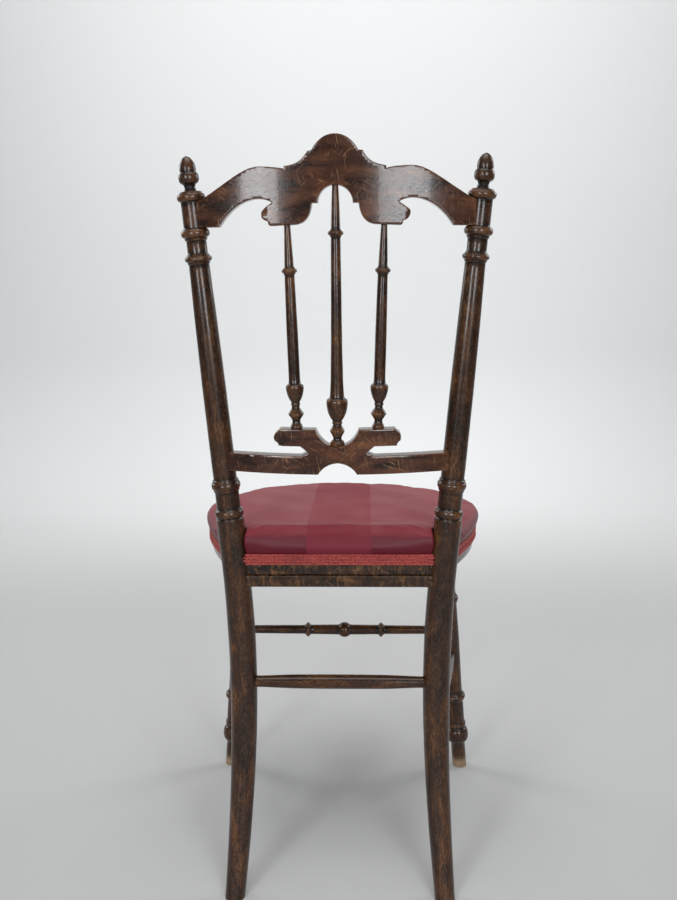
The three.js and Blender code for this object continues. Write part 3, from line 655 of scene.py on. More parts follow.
for side, hand in SIDES:
    foot_x, head_x = hand * SPINDLE_FEET * MM, hand * SPINDLE_HEADS * MM
    straight_turning(
        f"{side}_spindle",
        in_back(foot_x, lower_depth(foot_x), (LOWER_FOOT + WING_TOP) * MM),
        in_back(head_x, crest_depth(head_x), (CREST_FOOT + LOBE_FOOT) * MM),
        lambda span: [
            (-6, 4.2), (-0.2, 4.2), (0, 6.8), (1, 7.3), (3, 7.2), (6, 5.5), (9, 4.6), (10.6, 5), (17, 9.1),
            (18.2, 9.1), (24.4, 5), (26, 4.6), (27.4, 4.7), (28.4, 5.5), (30, 5.5), (31, 4.9), (32, 5.2),
            (34, 6.6), (37, 8.1), (40, 9.1), (44, 10.1), (48, 10.6), (50.6, 10.5), (52, 9.9), (52.6, 8),
            (54.5, 7.1), (58, 6.7), (112, 6.6), (152, 6.1), (span - 55.6, 5.7), (span - 55, 6.7),
            (span - 53.4, 6.7), (span - 48.4, 9, 6.6), (span - 47, 6.4), (span - 46.4, 5.4), (span - 18, 4.3),
            (span - 2, 3.6), (span + 6, 3.5),
        ],
        SPINDLE_FACETS,
        (0.5 * hand, 0.8, 0.2 + 0.3 * hand),
    )

# Seat frame: four curved beech rails glued end to end round the seat, hollowed round the posts,
# with a plain apron between the posts below them. Only a narrow strip shows under the braid.
SEAT_HALF_WIDTH, SEAT_FRONT, SEAT_WIDEST = 0.186, -0.212, -0.050
SEAT_MIDDLE = (SEAT_REAR + SEAT_FRONT) / 2
FRAME_BOTTOM = JOINT_HEIGHT - 0.0205
FRAME_TOP = FRAME_BOTTOM + 0.0275
RAIL_WIDTH, REAR_RAIL_WIDTH, RAIL_EASE = 0.033, 0.031, 0.0022
PLAN_STEP = 0.004
POST_GAP, GLUE_GAP = 0.0004, 0.0002
FRONT_JOINT = math.tan(math.radians(35))
POST_AT_SEAT = 0.0172


def spaced(points, step):
    """The same line with points a step apart."""
    lengths = run_lengths(points)
    even = np.linspace(0, lengths[-1], max(2, int(round(lengths[-1] / step)) + 1))
    return np.stack([np.interp(even, lengths, points[:, k]) for k in range(points.shape[1])], 1)


def grown(points, grow):
    """A plan line moved outwards from the seat's middle."""
    scale = 1 + grow / SEAT_HALF_WIDTH
    return np.stack([points[:, 0] * scale, SEAT_MIDDLE + (points[:, 1] - SEAT_MIDDLE) * scale], 1)


def rounded_section(low, high, radius, steps=4):
    """Corners of a rounded rectangle from 0 to 1 across, with the rounding in metres."""
    corners = []
    for across, height, start in ((1, high, 0), (0, high, 90), (0, low, 180), (1, low, 270)):
        for i in range(steps + 1):
            angle = math.radians(start + 90 * i / steps)
            inset = (math.cos(angle) - (1 if across else -1)) * radius
            rise = (math.sin(angle) - (1 if height == high else -1)) * radius
            corners.append((across, inset, height + rise))
    return corners


def closed_bar(rings):
    """A closed bar through rings of points, with a face over each end."""
    form = bmesh.new()
    rows = [[form.verts.new(p) for p in ring] for ring in rings]
    for near, far in zip(rows, rows[1:]):
        for j in range(len(near)):
            k = (j + 1) % len(near)
            form.faces.new([near[j], near[k], far[k], far[j]])
    form.faces.new(rows[0][::-1])
    form.faces.new(rows[-1])
    bmesh.ops.recalc_face_normals(form, faces=form.faces[:])
    mesh = bpy.data.meshes.new("bar")
    form.to_mesh(mesh)
    form.free()
    return mesh


def swept(inner, outer, section):
    """A bar between two plan lines, with the same section all along."""
    rings = []
    for a, b in zip(inner, outer):
        out = (b - a) / np.linalg.norm(b - a)
        spots = [((b if across else a) + out * inset, height) for across, inset, height in section]
        rings.append([(spot[0], spot[1] + CHAIR_SHIFT, height) for spot, height in spots])
    mesh = closed_bar(rings)
    smooth_faces(mesh)
    for polygon in mesh.polygons[-2:]:
        polygon.use_smooth = False
    return mesh


FIGURED_WOOD = stained_wood(
    "figured_beech",
    linear(22, 14, 9),
    linear(58, 37, 23),
    linear(112, 76, 42),
    linear(112, 78, 50),
    fleck=0.5,
    scratches=0.4,
    wavy=0.55,
)


def rail(name, inner, outer, low, high, seed, finish=SAWN_WOOD):
    section = rounded_section(low, high, RAIL_EASE)
    mesh = swept(inner, outer, section)
    along = np.repeat(run_lengths(outer), len(section))
    away = np.tile([RAIL_WIDTH * across + inset for across, inset, _ in section], len(inner))
    write_attribute(mesh, "grain", np.stack([away + seed, vectors(mesh.vertices, "co")[:, 2], along], 1))
    middle = (low + high) / 2
    corner = np.tile([abs(inset) + abs(height - middle) for _, inset, height in section], len(inner))
    edge = np.clip((corner - (high - low) / 2) / 0.0006, 0, 1)
    write_attribute(mesh, "relief", edge * 0.75 - 0.06)
    mesh.materials.append(finish)
    fitted(name, mesh, "sawn_wood", name)


front_pull = SEAT_WIDEST + QUARTER * (SEAT_FRONT - SEAT_WIDEST)
plan_half = pattern([
    (POST_SPREAD, SEAT_REAR),
    (POST_SPREAD + 0.019, 0.090, SEAT_HALF_WIDTH, 0.010, SEAT_HALF_WIDTH, SEAT_WIDEST),
    (SEAT_HALF_WIDTH, front_pull, QUARTER * SEAT_HALF_WIDTH, SEAT_FRONT, 0, SEAT_FRONT),
], 200)
from_post = np.hypot(plan_half[:, 0] - POST_SPREAD, plan_half[:, 1] - POST_DEPTH)
past_post = plan_half[from_post > POST_AT_SEAT + POST_GAP]
joint_line = FRONT_JOINT * (SEAT_MIDDLE - past_post[:, 1])
side_line = spaced(past_post[past_post[:, 0] > joint_line + GLUE_GAP], PLAN_STEP)
beyond = past_post[past_post[:, 0] < joint_line - GLUE_GAP]
front_line = spaced(np.concatenate([beyond, (beyond[:-1] * (-1, 1))[::-1]]), PLAN_STEP)
for side, hand in SIDES:
    line = side_line * (hand, 1)
    rail(f"seat_rail_{side}", grown(line, -RAIL_WIDTH), line, FRAME_BOTTOM, FRAME_TOP, 0.3 * hand)
rail("seat_rail_front", grown(front_line, -RAIL_WIDTH), front_line, FRAME_BOTTOM, FRAME_TOP, 0.8)
BETWEEN_POSTS = 0.1175
rear_line = spaced(np.array([(-BETWEEN_POSTS, SEAT_REAR), (BETWEEN_POSTS, SEAT_REAR)]), PLAN_STEP)
rear_inner = rear_line - (0, REAR_RAIL_WIDTH)
rail("seat_rail_rear", rear_inner, rear_line, FRAME_BOTTOM, FRAME_TOP, 1.4, FIGURED_WOOD)
APRON_HEIGHT, APRON_REAR, APRON_THICKNESS = 0.0145, 0.136, 0.020
APRON_TOP = FRAME_BOTTOM - 0.0006
apron_line = rear_line + (0, APRON_REAR - SEAT_REAR)
apron_inner = apron_line - (0, APRON_THICKNESS)
rail("back_apron", apron_inner, apron_line, APRON_TOP - APRON_HEIGHT, APRON_TOP, 2.1, FIGURED_WOOD)

# Front legs: turned beech with two ring collars, a bulb and a short foot, splayed out and forwards.
# Each one is tenoned up into a side rail, and its foot is scuffed down to bare wood.
FRONT_FOOT, FRONT_TOP = (0.185, -0.162), (0.150, -0.122)
LEG_FACETS = 48
SCUFFED_FOOT, SCUFF_FADE = 19, 6  # millimetres


def front_leg_axis(hand):
    foot = np.array([hand * FRONT_FOOT[0], FRONT_FOOT[1] + CHAIR_SHIFT, 0])
    top = np.array([hand * FRONT_TOP[0], FRONT_TOP[1] + CHAIR_SHIFT, FRAME_BOTTOM])
    return foot, top


def leg_corners(length):
    return [
        (-12, 10.6), (0, 10.8), (3, 11), (22, 11.2), (38, 11), (42, 11.6), (46, 13.2), (68.6, 17.7, 12.8),
        (70.4, 12.2), (71.4, 12.6), (79, 14.8, 12.9), (80, 12.9), (117, 13), (117.6, 14.2), (119.4, 14.2),
        (128.6, 16.8, 14.2), (130.4, 14), (132, 12.4), (150, 12.6), (220, 13.8), (283, 13.6), (283.6, 14.6),
        (286, 14.6), (295.4, 16.7, 14.4), (297.6, 14.2), (299, 13.2), (length - 12, 12.6), (length - 0.4, 12.6),
    ]


def scuffed(height):
    return np.clip((SCUFFED_FOOT - height) / SCUFF_FADE, 0, 1) * 0.9


for side, hand in SIDES:
    foot, top = front_leg_axis(hand)
    billet = (0.4, 0.6 * hand, 0.9)
    straight_turning(f"{side}_front_leg", foot, top, leg_corners, LEG_FACETS, billet, bare=scuffed, saw=True)

# Stretchers: turned rods between the legs. The front one carries three rings, and the others
# are plain and a little fuller at the middle. They are driven into holes bored in the legs.
STRETCHER_FACETS = 36
FRONT_HEIGHT, REAR_HEIGHT = 0.235, 0.258
SIDE_HEIGHTS = (0.198, 0.206)


def on_front_leg(hand, height):
    foot, top = front_leg_axis(hand)
    return foot + (top - foot) * height / FRAME_BOTTOM


def on_rear_leg(side, height):
    curve = leg_curves[side]
    order = np.argsort(curve[:, 2])
    return np.array([np.interp(height, curve[order, 2], curve[order, k]) for k in range(3)])


def cigar(end, middle):
    between = (end + middle) / 2 + 0.6
    return lambda length: [
        (4, end), (24, end), (length * 0.25, between), (length * 0.42, middle), (length * 0.58, middle),
        (length * 0.75, between), (length - 24, end), (length - 4, end),
    ]


def ringed(length):
    half = length / 2
    return [
        (4, 6.3), (24, 6.4), (half - 62, 6.9), (half - 61.4, 8.4), (half - 60, 8.4), (half - 54, 11.2, 8.2),
        (half - 52.6, 8.2), (half - 52, 7.3), (half - 9, 7.9), (half - 8, 9), (half - 6.6, 9),
        (half + 6.6, 11.6, 9), (half + 8, 9), (half + 9, 7.9), (half + 52, 7.3), (half + 52.6, 8.2),
        (half + 54, 8.2), (half + 60, 11.2, 8.4), (half + 61.4, 8.4), (half + 62, 6.9), (length - 24, 6.4),
        (length - 4, 6.3),
    ]


front_ends = [on_front_leg(hand, FRONT_HEIGHT) for _, hand in SIDES]
rear_ends = [on_rear_leg(side, REAR_HEIGHT) for side, _ in SIDES]
straight_turning("front_stretcher", *front_ends, ringed, STRETCHER_FACETS, (0.2, 1.1, 0.3))
straight_turning("rear_stretcher", *rear_ends, cigar(7.2, 9.1), STRETCHER_FACETS, (1.2, 0.4, 0.8))
for side, hand in SIDES:
    ends = on_front_leg(hand, SIDE_HEIGHTS[0]), on_rear_leg(side, SIDE_HEIGHTS[1])
    billet = (1.6, 0.9 * hand, 0.1)
    straight_turning(f"{side}_stretcher", *ends, cigar(6.4, 8.2), STRETCHER_FACETS, billet)

# Webbing and base cloth: jute straps are interlaced over the frame and nailed to its top, and a
# coarse hessian lies on them under the hair. They show only from underneath.
WEB_WIDTH, WEB_THICKNESS, WEB_SPACING = 0.050, 0.0015, 0.066
WEB_LOW = FRAME_TOP + 0.0003


def woven(name, pale, deep, threads):
    """Plain weave of coarse yarn, in two directions on the piece's own flat coordinates."""
    make = Recipe(name)
    flat = make.add("ShaderNodeTexCoord").outputs["Object"]
    yarn = {"Vector": flat, "Scale": threads, "Distortion": 0.5, "Detail": 2.0}
    warp, weft = (make.add("ShaderNodeTexWave", yarn, bands_direction=way).outputs["Fac"] for way in "XY")
    cloth = make.math("MAXIMUM", warp, weft)
    slub = make.noise(flat, 260, 4)
    colour = make.mix(make.between(cloth, 0.2, 0.9), deep, pale)
    colour = make.mix(make.times(slub, 0.4), colour, deep)
    return make.surface({"Base Color": colour, "Roughness": 0.95, "Normal": make.bump(cloth, 0.0006, 0.8)})


JUTE = woven("jute_webbing", linear(150, 124, 86), linear(86, 66, 42), 110)
HESSIAN = woven("hessian_cloth", linear(164, 138, 100), linear(92, 72, 48), 190)


def strap(name, centre, along_x, reach, phase):
    """One strap, dipping under and over the straps that cross it."""
    steps = spaced(np.array([(-reach[0], 0.0), (reach[1], 0.0)]), PLAN_STEP)[:, 0]
    lift = 0.5 * (WEB_THICKNESS + 0.0004) * np.cos(math.pi * steps / WEB_SPACING + phase)
    across = np.linspace(-WEB_WIDTH / 2, WEB_WIDTH / 2, 8)
    section = [(a, 0.5) for a in across] + [(a, -0.5) for a in across[::-1]]
    middle = WEB_LOW + WEB_THICKNESS
    rings = []
    for s, rise in zip(steps, lift):
        ring = []
        for a, face in section:
            x, y = (s, centre + a) if along_x else (centre + a, s + SEAT_MIDDLE)
            ring.append((x, y + CHAIR_SHIFT, middle + rise + face * WEB_THICKNESS))
        rings.append(ring)
    mesh = closed_bar(rings)
    mesh.materials.append(JUTE)
    fitted(name, mesh, "webbing", name)


for index, step in enumerate((-1, 0, 1)):
    flip = math.pi * (index % 2)
    cross, long = f"webbing_cross_{index + 1}", f"webbing_long_{index + 1}"
    low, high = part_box(cross)
    strap(cross, SEAT_MIDDLE + step * WEB_SPACING, True, (-low.x, high.x), flip)
    low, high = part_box(long)
    reach = (SEAT_MIDDLE + CHAIR_SHIFT - low.y, high.y - SEAT_MIDDLE - CHAIR_SHIFT)
    strap(long, step * WEB_SPACING, False, reach, flip + math.pi)
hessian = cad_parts["hessian"]
hessian.data.materials.clear()
hessian.data.materials.append(HESSIAN)

# Seat cover: red satin pulled over horsehair stuffing, down the frame's edge on all sides, and cut
# round the two posts. A ribbed band runs from front to back over the middle.
# Its top carries dust, and painted light and shade make the faces turned up a lighter red and the rear face a
# deeper red.
CLOTH_STEP = 0.005
COVER_LOW = FRAME_TOP - 0.0135
CLOTH_THICKNESS = 0.0016
BAND_HALF = 0.040
CUSHION = [  # height of the cloth in metres, and how far it stands out from the frame
    (COVER_LOW, 0.0012), (0.420, 0.0014), (FRAME_TOP, 0.0020), (0.4310, 0.0048), (0.4370, 0.0074),
    (0.4435, 0.0082), (0.4495, 0.0068), (0.4535, 0.0030), (0.4558, -0.0030), (0.4570, -0.0115),
    (0.4578, -0.0250), (0.4586, -0.0450), (0.4592, -0.0670), (0.4598, -0.0920), (0.4602, -0.1180),
    (0.4605, -0.1450), (0.4606, -0.1700), (0.4606, -0.1855),
]
ROLL_HEIGHT, ROLL_PLACE, ROLL_WIDTH = 0.0028, 0.008, 0.014
HOLLOW_DEPTH, HOLLOW_PLACE, HOLLOW_WIDTH = 0.0016, 0.045, 0.030
GATHER_DEPTH, GATHER_START, GATHER_END = 0.00035, 0.014, 0.050
FOLD_DEPTH, FOLD_PLACE, FOLD_WIDTH = 0.0022, 0.106, 0.0028
REAR_FACE, FLAT_RIM = 0.118, 0.044
SWELLING, RIPPLE = 0.0025, 0.0005
POST_CLEAR = POST_AT_SEAT + 0.0008


def seat_loop(step):
    """The whole plan of the frame as an even closed line, from the middle of the rear edge."""
    half = spaced(np.concatenate([[(0, SEAT_REAR)], plan_half]), step)
    return np.concatenate([half, (half[1:-1] * (-1, 1))[::-1]])


def clear_of_posts(points):
    """Moves cloth that would lie in a post to the post's side that faces the seat."""
    for _, hand in SIDES:
        height = np.maximum(points[:, 2] - JOINT_HEIGHT, -0.03)
        centre = np.stack([
            hand * (POST_SPREAD + height * math.tan(SPLAY)),
            POST_DEPTH + CHAIR_SHIFT + height * math.tan(RAKE),
        ], 1)
        toward = np.array([-hand * POST_SPREAD, SEAT_MIDDLE - POST_DEPTH])
        toward /= np.linalg.norm(toward)
        away = points[:, :2] - centre
        inside = (away ** 2).sum(1) < POST_CLEAR ** 2
        dot = away @ toward
        push = -dot + np.sqrt(np.maximum(dot ** 2 - (away ** 2).sum(1) + POST_CLEAR ** 2, 0))
        points[inside, :2] += push[inside, None] * toward
    return points


def seat_levels():
    """The cushion's own profile at close heights: distance over the cloth from its lower edge."""
    profile = np.array(CUSHION)
    lengths = run_lengths(profile)
    end = lengths[-1]
    even = np.concatenate([np.arange(0, 0.07, 0.0035), np.arange(0.07, end, 0.007), [end]])
    fine = np.arange(0, end, 0.0005)
    heights, outs = (smoothed(np.interp(fine, lengths, column), 6) for column in profile.T)
    return [(np.interp(s, fine, heights), np.interp(s, fine, outs), s) for s in even]


def cover_mesh():
    """The cover in rings, from its nailed edge to the crown. Its cloth attribute is the cloth laid flat."""
    loop = seat_loop(CLOTH_STEP)
    levels = seat_levels()
    rows, flats = [], []
    tangent = np.roll(loop, -1, 0) - np.roll(loop, 1, 0)
    normal = np.stack([-tangent[:, 1], tangent[:, 0]], 1)
    normal /= np.linalg.norm(normal, axis=1)[:, None]
    if (normal * (loop - (0, SEAT_MIDDLE))).sum() < 0:
        normal = -normal
    for height, out, along in levels:
        ring = grown(loop, out)
        rows.append(np.column_stack([ring[:, 0], ring[:, 1] + CHAIR_SHIFT, np.full(len(ring), height)]))
        drop = max(0.0, FLAT_RIM - along)
        flats.append(np.column_stack([ring + normal * drop, np.full(len(ring), along)]))
    count = len(loop)
    points = np.concatenate(rows + [[(0, SEAT_MIDDLE + CHAIR_SHIFT, CUSHION[-1][0])]])
    flat = np.concatenate(flats + [[(0, SEAT_MIDDLE, levels[-1][2])]])
    faces = []
    for i in range(len(levels) - 1):
        for j in range(count):
            k = (j + 1) % count
            faces.append((i * count + j, i * count + k, (i + 1) * count + k, (i + 1) * count + j))
    last = (len(levels) - 1) * count
    faces += [(last + j, last + (j + 1) % count, len(points) - 1) for j in range(count)]
    mesh = bpy.data.meshes.new("seat_cover")
    mesh.from_pydata(clear_of_posts(points), [], faces)
    write_attribute(mesh, "cloth", flat)
    form = bmesh.new()
    form.from_mesh(mesh)
    bmesh.ops.recalc_face_normals(form, faces=form.faces[:])
    if sum(f.normal.z * f.calc_area() for f in form.faces) < 0:
        bmesh.ops.reverse_faces(form, faces=form.faces[:])
    form.to_mesh(mesh)
    form.free()
    return mesh


def stuffed(mesh, limit):
    """Lets the cover swell under the stuffing's pressure, held along its nailed edge."""
    rest = vectors(mesh.vertices, "co")
    dummy = added("cover_swelling", mesh)
    held = dummy.vertex_groups.new(name="nailed")
    held.add([i for i in range(len(rest)) if rest[i, 2] < FRAME_TOP + 0.001], 1.0, "REPLACE")
    cloth = dummy.modifiers.new("swelling", "CLOTH")
    settings = cloth.settings
    settings.quality, settings.mass = 6, 0.3
    settings.tension_stiffness = settings.compression_stiffness = 30
    settings.shear_stiffness, settings.bending_stiffness = 12, 3
    settings.use_pressure, settings.uniform_pressure_force = True, 4
    settings.effector_weights.gravity = 0
    settings.vertex_group_mass = "nailed"
    cloth.collision_settings.use_collision = False
    for step in range(1, 21):
        scene.frame_set(step)
    depsgraph = bpy.context.evaluated_depsgraph_get()
    swollen = vectors(dummy.evaluated_get(depsgraph).to_mesh().vertices, "co")
    bpy.data.objects.remove(dummy)
    scene.frame_set(1)
    move = swollen - rest
    size = np.linalg.norm(move, axis=1)
    move *= (np.minimum(size, limit) / np.maximum(size, 1e-9))[:, None]
    return rest + move


cover = cover_mesh()
cloth_points = vectors(cover.vertices, "co")
cloth_points = stuffed(cover, SWELLING)
flat_x, flat_y, climb = vectors(cover.attributes["cloth"].data, "vector").T
# Pulls: shallow gathers run up from the nailed edge, and each rear corner has one upright fold.
edge_share = np.clip(1 - climb / GATHER_END, 0, 1) * np.clip(climb / GATHER_START, 0, 1)
turn = np.arctan2(cloth_points[:, 0], -(cloth_points[:, 1] - CHAIR_SHIFT - SEAT_MIDDLE))
gather = 0.5 * np.sin(turn * 47 + 1.3 * np.sin(turn * 9)) + 0.5 * np.sin(turn * 29 + 2)
outward = cloth_points[:, :2] - (0, SEAT_MIDDLE + CHAIR_SHIFT)
outward /= np.linalg.norm(outward, axis=1)[:, None] + 1e-9
rear_face = np.clip((cloth_points[:, 1] - CHAIR_SHIFT - REAR_FACE) / 0.01, 0, 1)
fold = np.exp(-((np.abs(cloth_points[:, 0]) - FOLD_PLACE) / FOLD_WIDTH) ** 2) * rear_face * edge_share
depth = GATHER_DEPTH * gather * edge_share * (1 - 0.6 * rear_face) - FOLD_DEPTH * fold
cloth_points[:, :2] += outward * depth[:, None]
cloth_points[:, 2] += RIPPLE * np.sin(flat_x * 70 + flat_y * 60) * np.clip((climb - 0.05) / 0.05, 0, 1)
# Sat-on shape: a firm roll stands along the rear edge, with a shallow hollow in front of it.
from_rear = SEAT_REAR + CHAIR_SHIFT - cloth_points[:, 1]
roll = ROLL_HEIGHT * np.exp(-((from_rear - ROLL_PLACE) / ROLL_WIDTH) ** 2)
hollow = HOLLOW_DEPTH * np.exp(-((from_rear - HOLLOW_PLACE) / HOLLOW_WIDTH) ** 2)
on_crown = np.clip((cloth_points[:, 2] - 0.434) / 0.012, 0, 1)
between_posts = np.clip((0.135 - np.abs(cloth_points[:, 0])) / 0.03, 0, 1)
cloth_points[:, 2] += (roll - hollow) * on_crown * between_posts
moved_to(cover, clear_of_posts(cloth_points))


def red_satin():
    make = Recipe("red_satin")
    cloth = make.add("ShaderNodeAttribute", attribute_name="cloth").outputs["Vector"]
    parts = make.add("ShaderNodeSeparateXYZ", {0: cloth})
    across, along = parts.outputs[0], parts.outputs[1]
    up = make.add("ShaderNodeSeparateXYZ", {0: make.add("ShaderNodeNewGeometry").outputs["Normal"]}).outputs[2]
    on_top = make.between(up, 0.28, 0.88)
    band = make.between(make.math("ABSOLUTE", across), BAND_HALF + 0.0006, BAND_HALF - 0.0006)
    rib = make.math("SINE", make.times(along, 2 * math.pi / 0.0021))
    rib = make.plus(make.times(rib, 0.5), 0.5)
    yarn = make.math("SINE", make.times(across, 2 * math.pi / 0.0007))
    yarn = make.plus(make.times(yarn, 0.5), 0.5)
    slub = make.noise(make.stretched(cloth, (60, 1400, 60)), 1, 3)
    cloudy = make.noise(cloth, 16, 4, 0.6)
    # Painted light and shade: faces turned up get the lighter red, and the rear face gets the deep shaded red.
    colour = make.mix(on_top, linear(86, 9, 27), linear(126, 37, 47))
    colour = make.mix(make.times(slub, 0.35), colour, linear(84, 14, 30))
    ribbed = make.mix(make.times(rib, 0.6), linear(108, 26, 40), linear(136, 50, 62))
    # Painted light: the ribbed band's share depends on facing, stronger on the shaded rear face than on the
    # top.
    on_rear = make.math("SUBTRACT", 0.6, make.times(on_top, 0.35))
    colour = make.mix(make.times(band, on_rear), colour, ribbed)
    dust = make.times(on_top, make.between(cloudy, 0.35, 0.75))
    colour = make.mix(make.times(dust, 0.16), colour, linear(166, 112, 110))
    stain = make.between(make.noise(cloth, 27, 3, 0.6), 0.64, 0.74)
    colour = make.mix(make.times(stain, 0.22), colour, linear(86, 42, 40))
    rough = make.plus(0.46, make.times(band, 0.2))
    weave = make.bump(make.times(yarn, slub), 0.00012, 0.35)
    return make.surface({
        "Base Color": colour,
        "Roughness": make.plus(rough, make.times(on_top, 0.16)),
        "Normal": make.bump(make.times(rib, band), 0.00035, 0.55, weave),
        "Specular IOR Level": 0.3,
        "Sheen Weight": 0.14,
        "Sheen Roughness": 0.4,
        "Sheen Tint": linear(226, 168, 170),
    })


cover.materials.append(red_satin())
open_cover = added("seat_cover", cover)
finer = open_cover.modifiers.new("finer", "SUBSURF")
finer.levels = finer.render_levels = 1
wall = open_cover.modifiers.new("cloth", "SOLIDIFY")
wall.thickness, wall.offset = CLOTH_THICKNESS, -1
seat_cover = fitted("seat_pad_cover", plain_mesh(open_cover), "seat_cloth", "seat_cover", "stuffing")

# Braid: a woven coral tape glued over the cloth's nailed edge, with a cord along each side and a
# herringbone of slanted stitches between. One length runs between the posts, and one round the front.
BRAID_MIDDLE = FRAME_TOP - 0.0068
BRAID_BACK, BRAID_OUT, BRAID_HEIGHT = 0.0018, 0.0030, 0.0135
STITCH_SPACING, STITCH_TILT, STITCH_SIZE = 0.0028, math.radians(36), (0.0033, 0.0012, 0.00105)
STITCH_ROW, CORD_RADIUS, CORD_EDGE = 0.0023, 0.0011, 0.0057
REAR_BRAID_HALF = 0.1145


def coral_braid(name, pale, deep):
    make = Recipe(name)
    spot = make.add("ShaderNodeTexCoord").outputs["Object"]
    tone = make.noise(spot, 420, 3)
    soil = make.noise(spot, 24, 3)
    colour = make.mix(make.between(tone, 0.35, 0.65), deep, pale)
    colour = make.mix(make.times(make.between(soil, 0.5, 0.7), 0.4), colour, linear(112, 44, 46))
    return make.surface({
        "Base Color": colour,
        "Roughness": 0.75,
        "Specular IOR Level": 0.25,
        "Sheen Weight": 0.12,
        "Normal": make.bump(make.noise(spot, 1500, 2), 0.00015, 0.5),
    })


BRAID_THREAD = coral_braid("braid_thread", linear(178, 78, 70), linear(124, 40, 40))


def braid_tree():
    """Lays two rows of slanted stitches and two cords along a line round the seat."""
    jig = Jig("braid", {
        "Line": "Geometry", "Spacing": "Float", "Tilt": "Float", "Row": "Float", "Cord": "Float",
        "Edge": "Float", "Thread": "Material",
    })

    def raised(line, distance, side):
        offset = jig.add("ShaderNodeCombineXYZ", {2: jig.times(distance, side)}).outputs[0]
        return jig.add("GeometryNodeSetPosition", {"Geometry": line, "Offset": offset}).outputs[0]

    joined = jig.add("GeometryNodeJoinGeometry")
    stitch = jig.add("GeometryNodeMeshUVSphere", {"Segments": 6, "Rings": 5, "Radius": 1.0}).outputs["Mesh"]
    tangent = jig.add("GeometryNodeInputTangent").outputs[0]
    for side in (1, -1):
        marks = {"Curve": jig.curve, "Length": jig.given["Spacing"]}
        even = jig.add("GeometryNodeResampleCurve", marks, mode="LENGTH").outputs[0]
        ahead = jig.add("FunctionNodeAlignRotationToVector", {"Vector": tangent}, axis="X").outputs[0]
        upward = {"Rotation": ahead, "Vector": (0, 0, 1)}
        upright = jig.add("FunctionNodeAlignRotationToVector", upward, axis="Z", pivot_axis="X").outputs[0]
        slant = {"Axis": (0, 1, 0), "Angle": jig.times(jig.given["Tilt"], side)}
        lean = jig.add("FunctionNodeAxisAngleToRotation", slant).outputs[0]
        both = {"Rotation": upright, "Rotate By": lean}
        placed = jig.add("GeometryNodeInstanceOnPoints", {
            "Points": raised(even, jig.given["Row"], side),
            "Instance": stitch,
            "Rotation": jig.add("FunctionNodeRotateRotation", both, rotation_space="LOCAL").outputs[0],
            "Scale": STITCH_SIZE,
        })
        jig.put(joined.inputs[0], placed.outputs[0])
    round_cord = jig.add("GeometryNodeCurvePrimitiveCircle", {"Resolution": 8, "Radius": jig.given["Cord"]})
    for side in (1, -1):
        cord = jig.add("GeometryNodeCurveToMesh", {
            "Curve": raised(jig.curve, jig.given["Edge"], side),
            "Profile Curve": round_cord.outputs["Curve"],
            "Fill Caps": True,
        })
        jig.put(joined.inputs[0], cord.outputs[0])
    return jig.finish(joined.outputs[0], jig.given["Thread"])


BRAID = braid_tree()


def braid(name, plan):
    """The tape, swept flat, with the stitches and cords of the node tree on its face."""
    face = grown(plan, BRAID_OUT + 0.0006)
    line = drawn_line(name, [(x, y + CHAIR_SHIFT, BRAID_MIDDLE) for x, y in face])
    stitches = made_along(line, BRAID, {
        "Spacing": STITCH_SPACING,
        "Tilt": STITCH_TILT,
        "Row": STITCH_ROW,
        "Cord": CORD_RADIUS,
        "Edge": CORD_EDGE,
        "Thread": BRAID_THREAD,
    })
    low, high = BRAID_MIDDLE - BRAID_HEIGHT / 2, BRAID_MIDDLE + BRAID_HEIGHT / 2
    tape = swept(grown(plan, BRAID_BACK), grown(plan, BRAID_OUT), rounded_section(low, high, 0.0004, 2))
    form = bmesh.new()
    form.from_mesh(stitches)
    form.from_mesh(tape)
    for polygon in form.faces:
        polygon.material_index = 0
        polygon.smooth = True
    form.to_mesh(stitches)
    form.free()
    stitches.materials.clear()
    stitches.materials.append(BRAID_THREAD)
    fitted(name, stitches, "braid", name)


whole_side = spaced(past_post, PLAN_STEP)
braid("gimp_front", np.concatenate([whole_side[:-1], (whole_side * (-1, 1))[::-1]]))
rear_plan = np.array([(-REAR_BRAID_HALF, SEAT_REAR), (REAR_BRAID_HALF, SEAT_REAR)])
braid("gimp_rear", spaced(rear_plan, PLAN_STEP))

# Studio: a pale paper floor that runs up into a plain pale backdrop. Two broad lamps stand behind
# the camera, one hangs over the chair, one lights the backdrop and two fill in from the far sides.
FLOOR_REACH, SWEEP_START, SWEEP_RADIUS, BACKDROP_TOP = 25.0, -1.9, 0.6, 8.0
floor_mesh = bpy.data.meshes.new("studio_floor")
profile = [(FLOOR_REACH, 0.0), (SWEEP_START, 0.0)]
for a in np.linspace(0.1, math.pi / 2, 12):
    profile.append((SWEEP_START - SWEEP_RADIUS * math.sin(a), SWEEP_RADIUS - SWEEP_RADIUS * math.cos(a)))
profile.append((SWEEP_START - SWEEP_RADIUS, BACKDROP_TOP))
floor_points = [(x, y, z) for y, z in profile for x in (-FLOOR_REACH, FLOOR_REACH)]
floor_faces = [(2 * i, 2 * i + 1, 2 * i + 3, 2 * i + 2) for i in range(len(profile) - 1)]
floor_mesh.from_pydata(floor_points, [], floor_faces)
smooth_faces(floor_mesh)
paper = Recipe("studio_paper")
paper_spot = paper.add("ShaderNodeTexCoord").outputs["Object"]
paper_depth = paper.add("ShaderNodeSeparateXYZ", {0: paper_spot}).outputs[1]
paper_tone = paper.mix(paper.between(paper_depth, -0.8, -2.4), linear(184, 184, 184), linear(232, 233, 233))
paper_finish = {"Base Color": paper_tone, "Roughness": 0.9, "Specular IOR Level": 0.1}
floor_mesh.materials.append(paper.surface(paper_finish))
floor = added("studio_floor", floor_mesh)


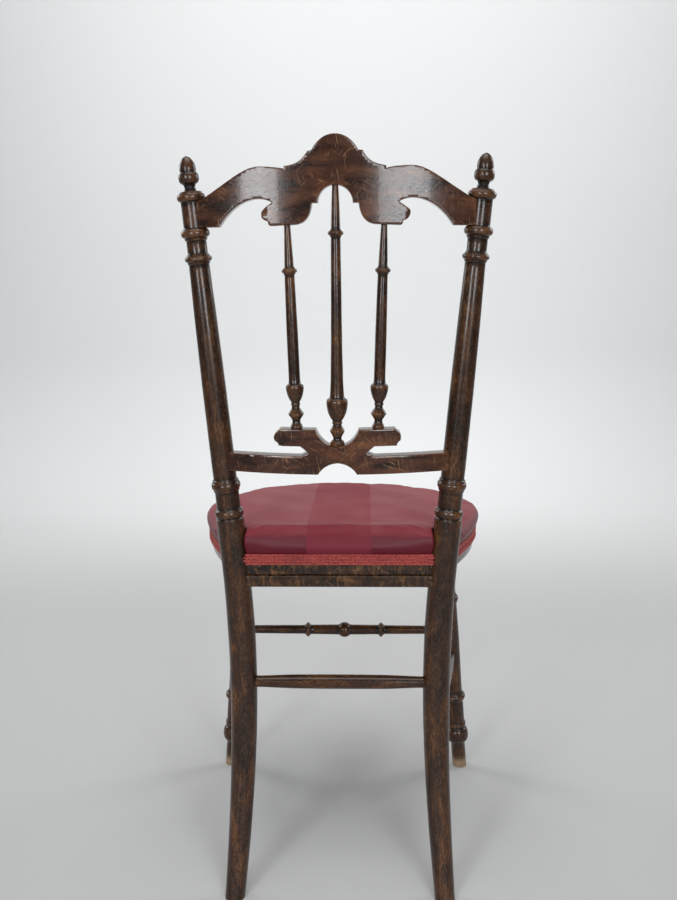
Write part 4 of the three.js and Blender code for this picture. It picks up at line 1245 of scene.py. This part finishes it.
def lamp(name, place, aim, size, power, tint=(1, 1, 1)):
    light = bpy.data.lights.new(name, "AREA")
    light.shape, light.size, light.size_y = "RECTANGLE", size[0], size[1]
    light.energy, light.color, light.spread = power, tint, math.radians(110)
    holder = added(name, light)
    holder.location = place
    holder.rotation_euler = (Vector(aim) - Vector(place)).to_track_quat("-Z", "Y").to_euler()


lamp("left_window", (1.25, 2.75, 1.05), (0, 0.1, 0.75), (0.60, 1.2), 13, (0.96, 0.98, 1.0))
lamp("right_window", (-0.95, 2.75, 1.05), (0, 0.1, 0.75), (0.8, 1.2), 14, (0.94, 0.97, 1.0))
lamp("ceiling", (0, 0.5, 3.0), (0, 0, 0), (2.2, 2.2), 19)
lamp("backdrop", (0, -0.9, 3.4), (0, -2.5, 1.4), (3.2, 0.6), 26)
lamp("far_left", (2.3, -1.3, 1.7), (0, 0, 0.5), (1.0, 1.4), 8)
lamp("far_right", (-2.3, -1.3, 1.7), (0, 0, 0.5), (1.0, 1.4), 8)
world = bpy.data.worlds.new("studio")
world.use_nodes = True
sky = world.node_tree.nodes["Background"]
sky.inputs["Color"].default_value = (0.93, 0.95, 0.97, 1)
sky.inputs["Strength"].default_value = 0.22
scene.world = world
scene.view_settings.view_transform = "Standard"

# Camera: behind the chair at the height of its back, turned and tipped down a little,
# as the photograph was taken.
EYE = (-0.033, 1.223 + CHAIR_SHIFT, 0.707)
YAW, PITCH, ROLL = math.radians(1.72), math.radians(7.84), math.radians(0.35)
turn_left = Matrix.Rotation(YAW, 3, "Z")
ahead, right, down = turn_left @ Vector((0, -1, 0)), turn_left @ Vector((-1, 0, 0)), Vector((0, 0, -1))
look = ahead * math.cos(PITCH) + down * math.sin(PITCH)
low = down * math.cos(PITCH) - ahead * math.sin(PITCH)
aside = right * math.cos(ROLL) + low * math.sin(ROLL)
low = low * math.cos(ROLL) - right * math.sin(ROLL)
lens = bpy.data.cameras.new("camera")
lens.lens, lens.sensor_width = 36.0, 36.0
lens.clip_start, lens.clip_end = 0.02, 40
camera = added("camera", lens)
camera.matrix_world = Matrix((
    (aside.x, -low.x, -look.x, EYE[0]),
    (aside.y, -low.y, -look.y, EYE[1]),
    (aside.z, -low.z, -look.z, EYE[2]),
    (0, 0, 0, 1),
))
scene.camera = camera
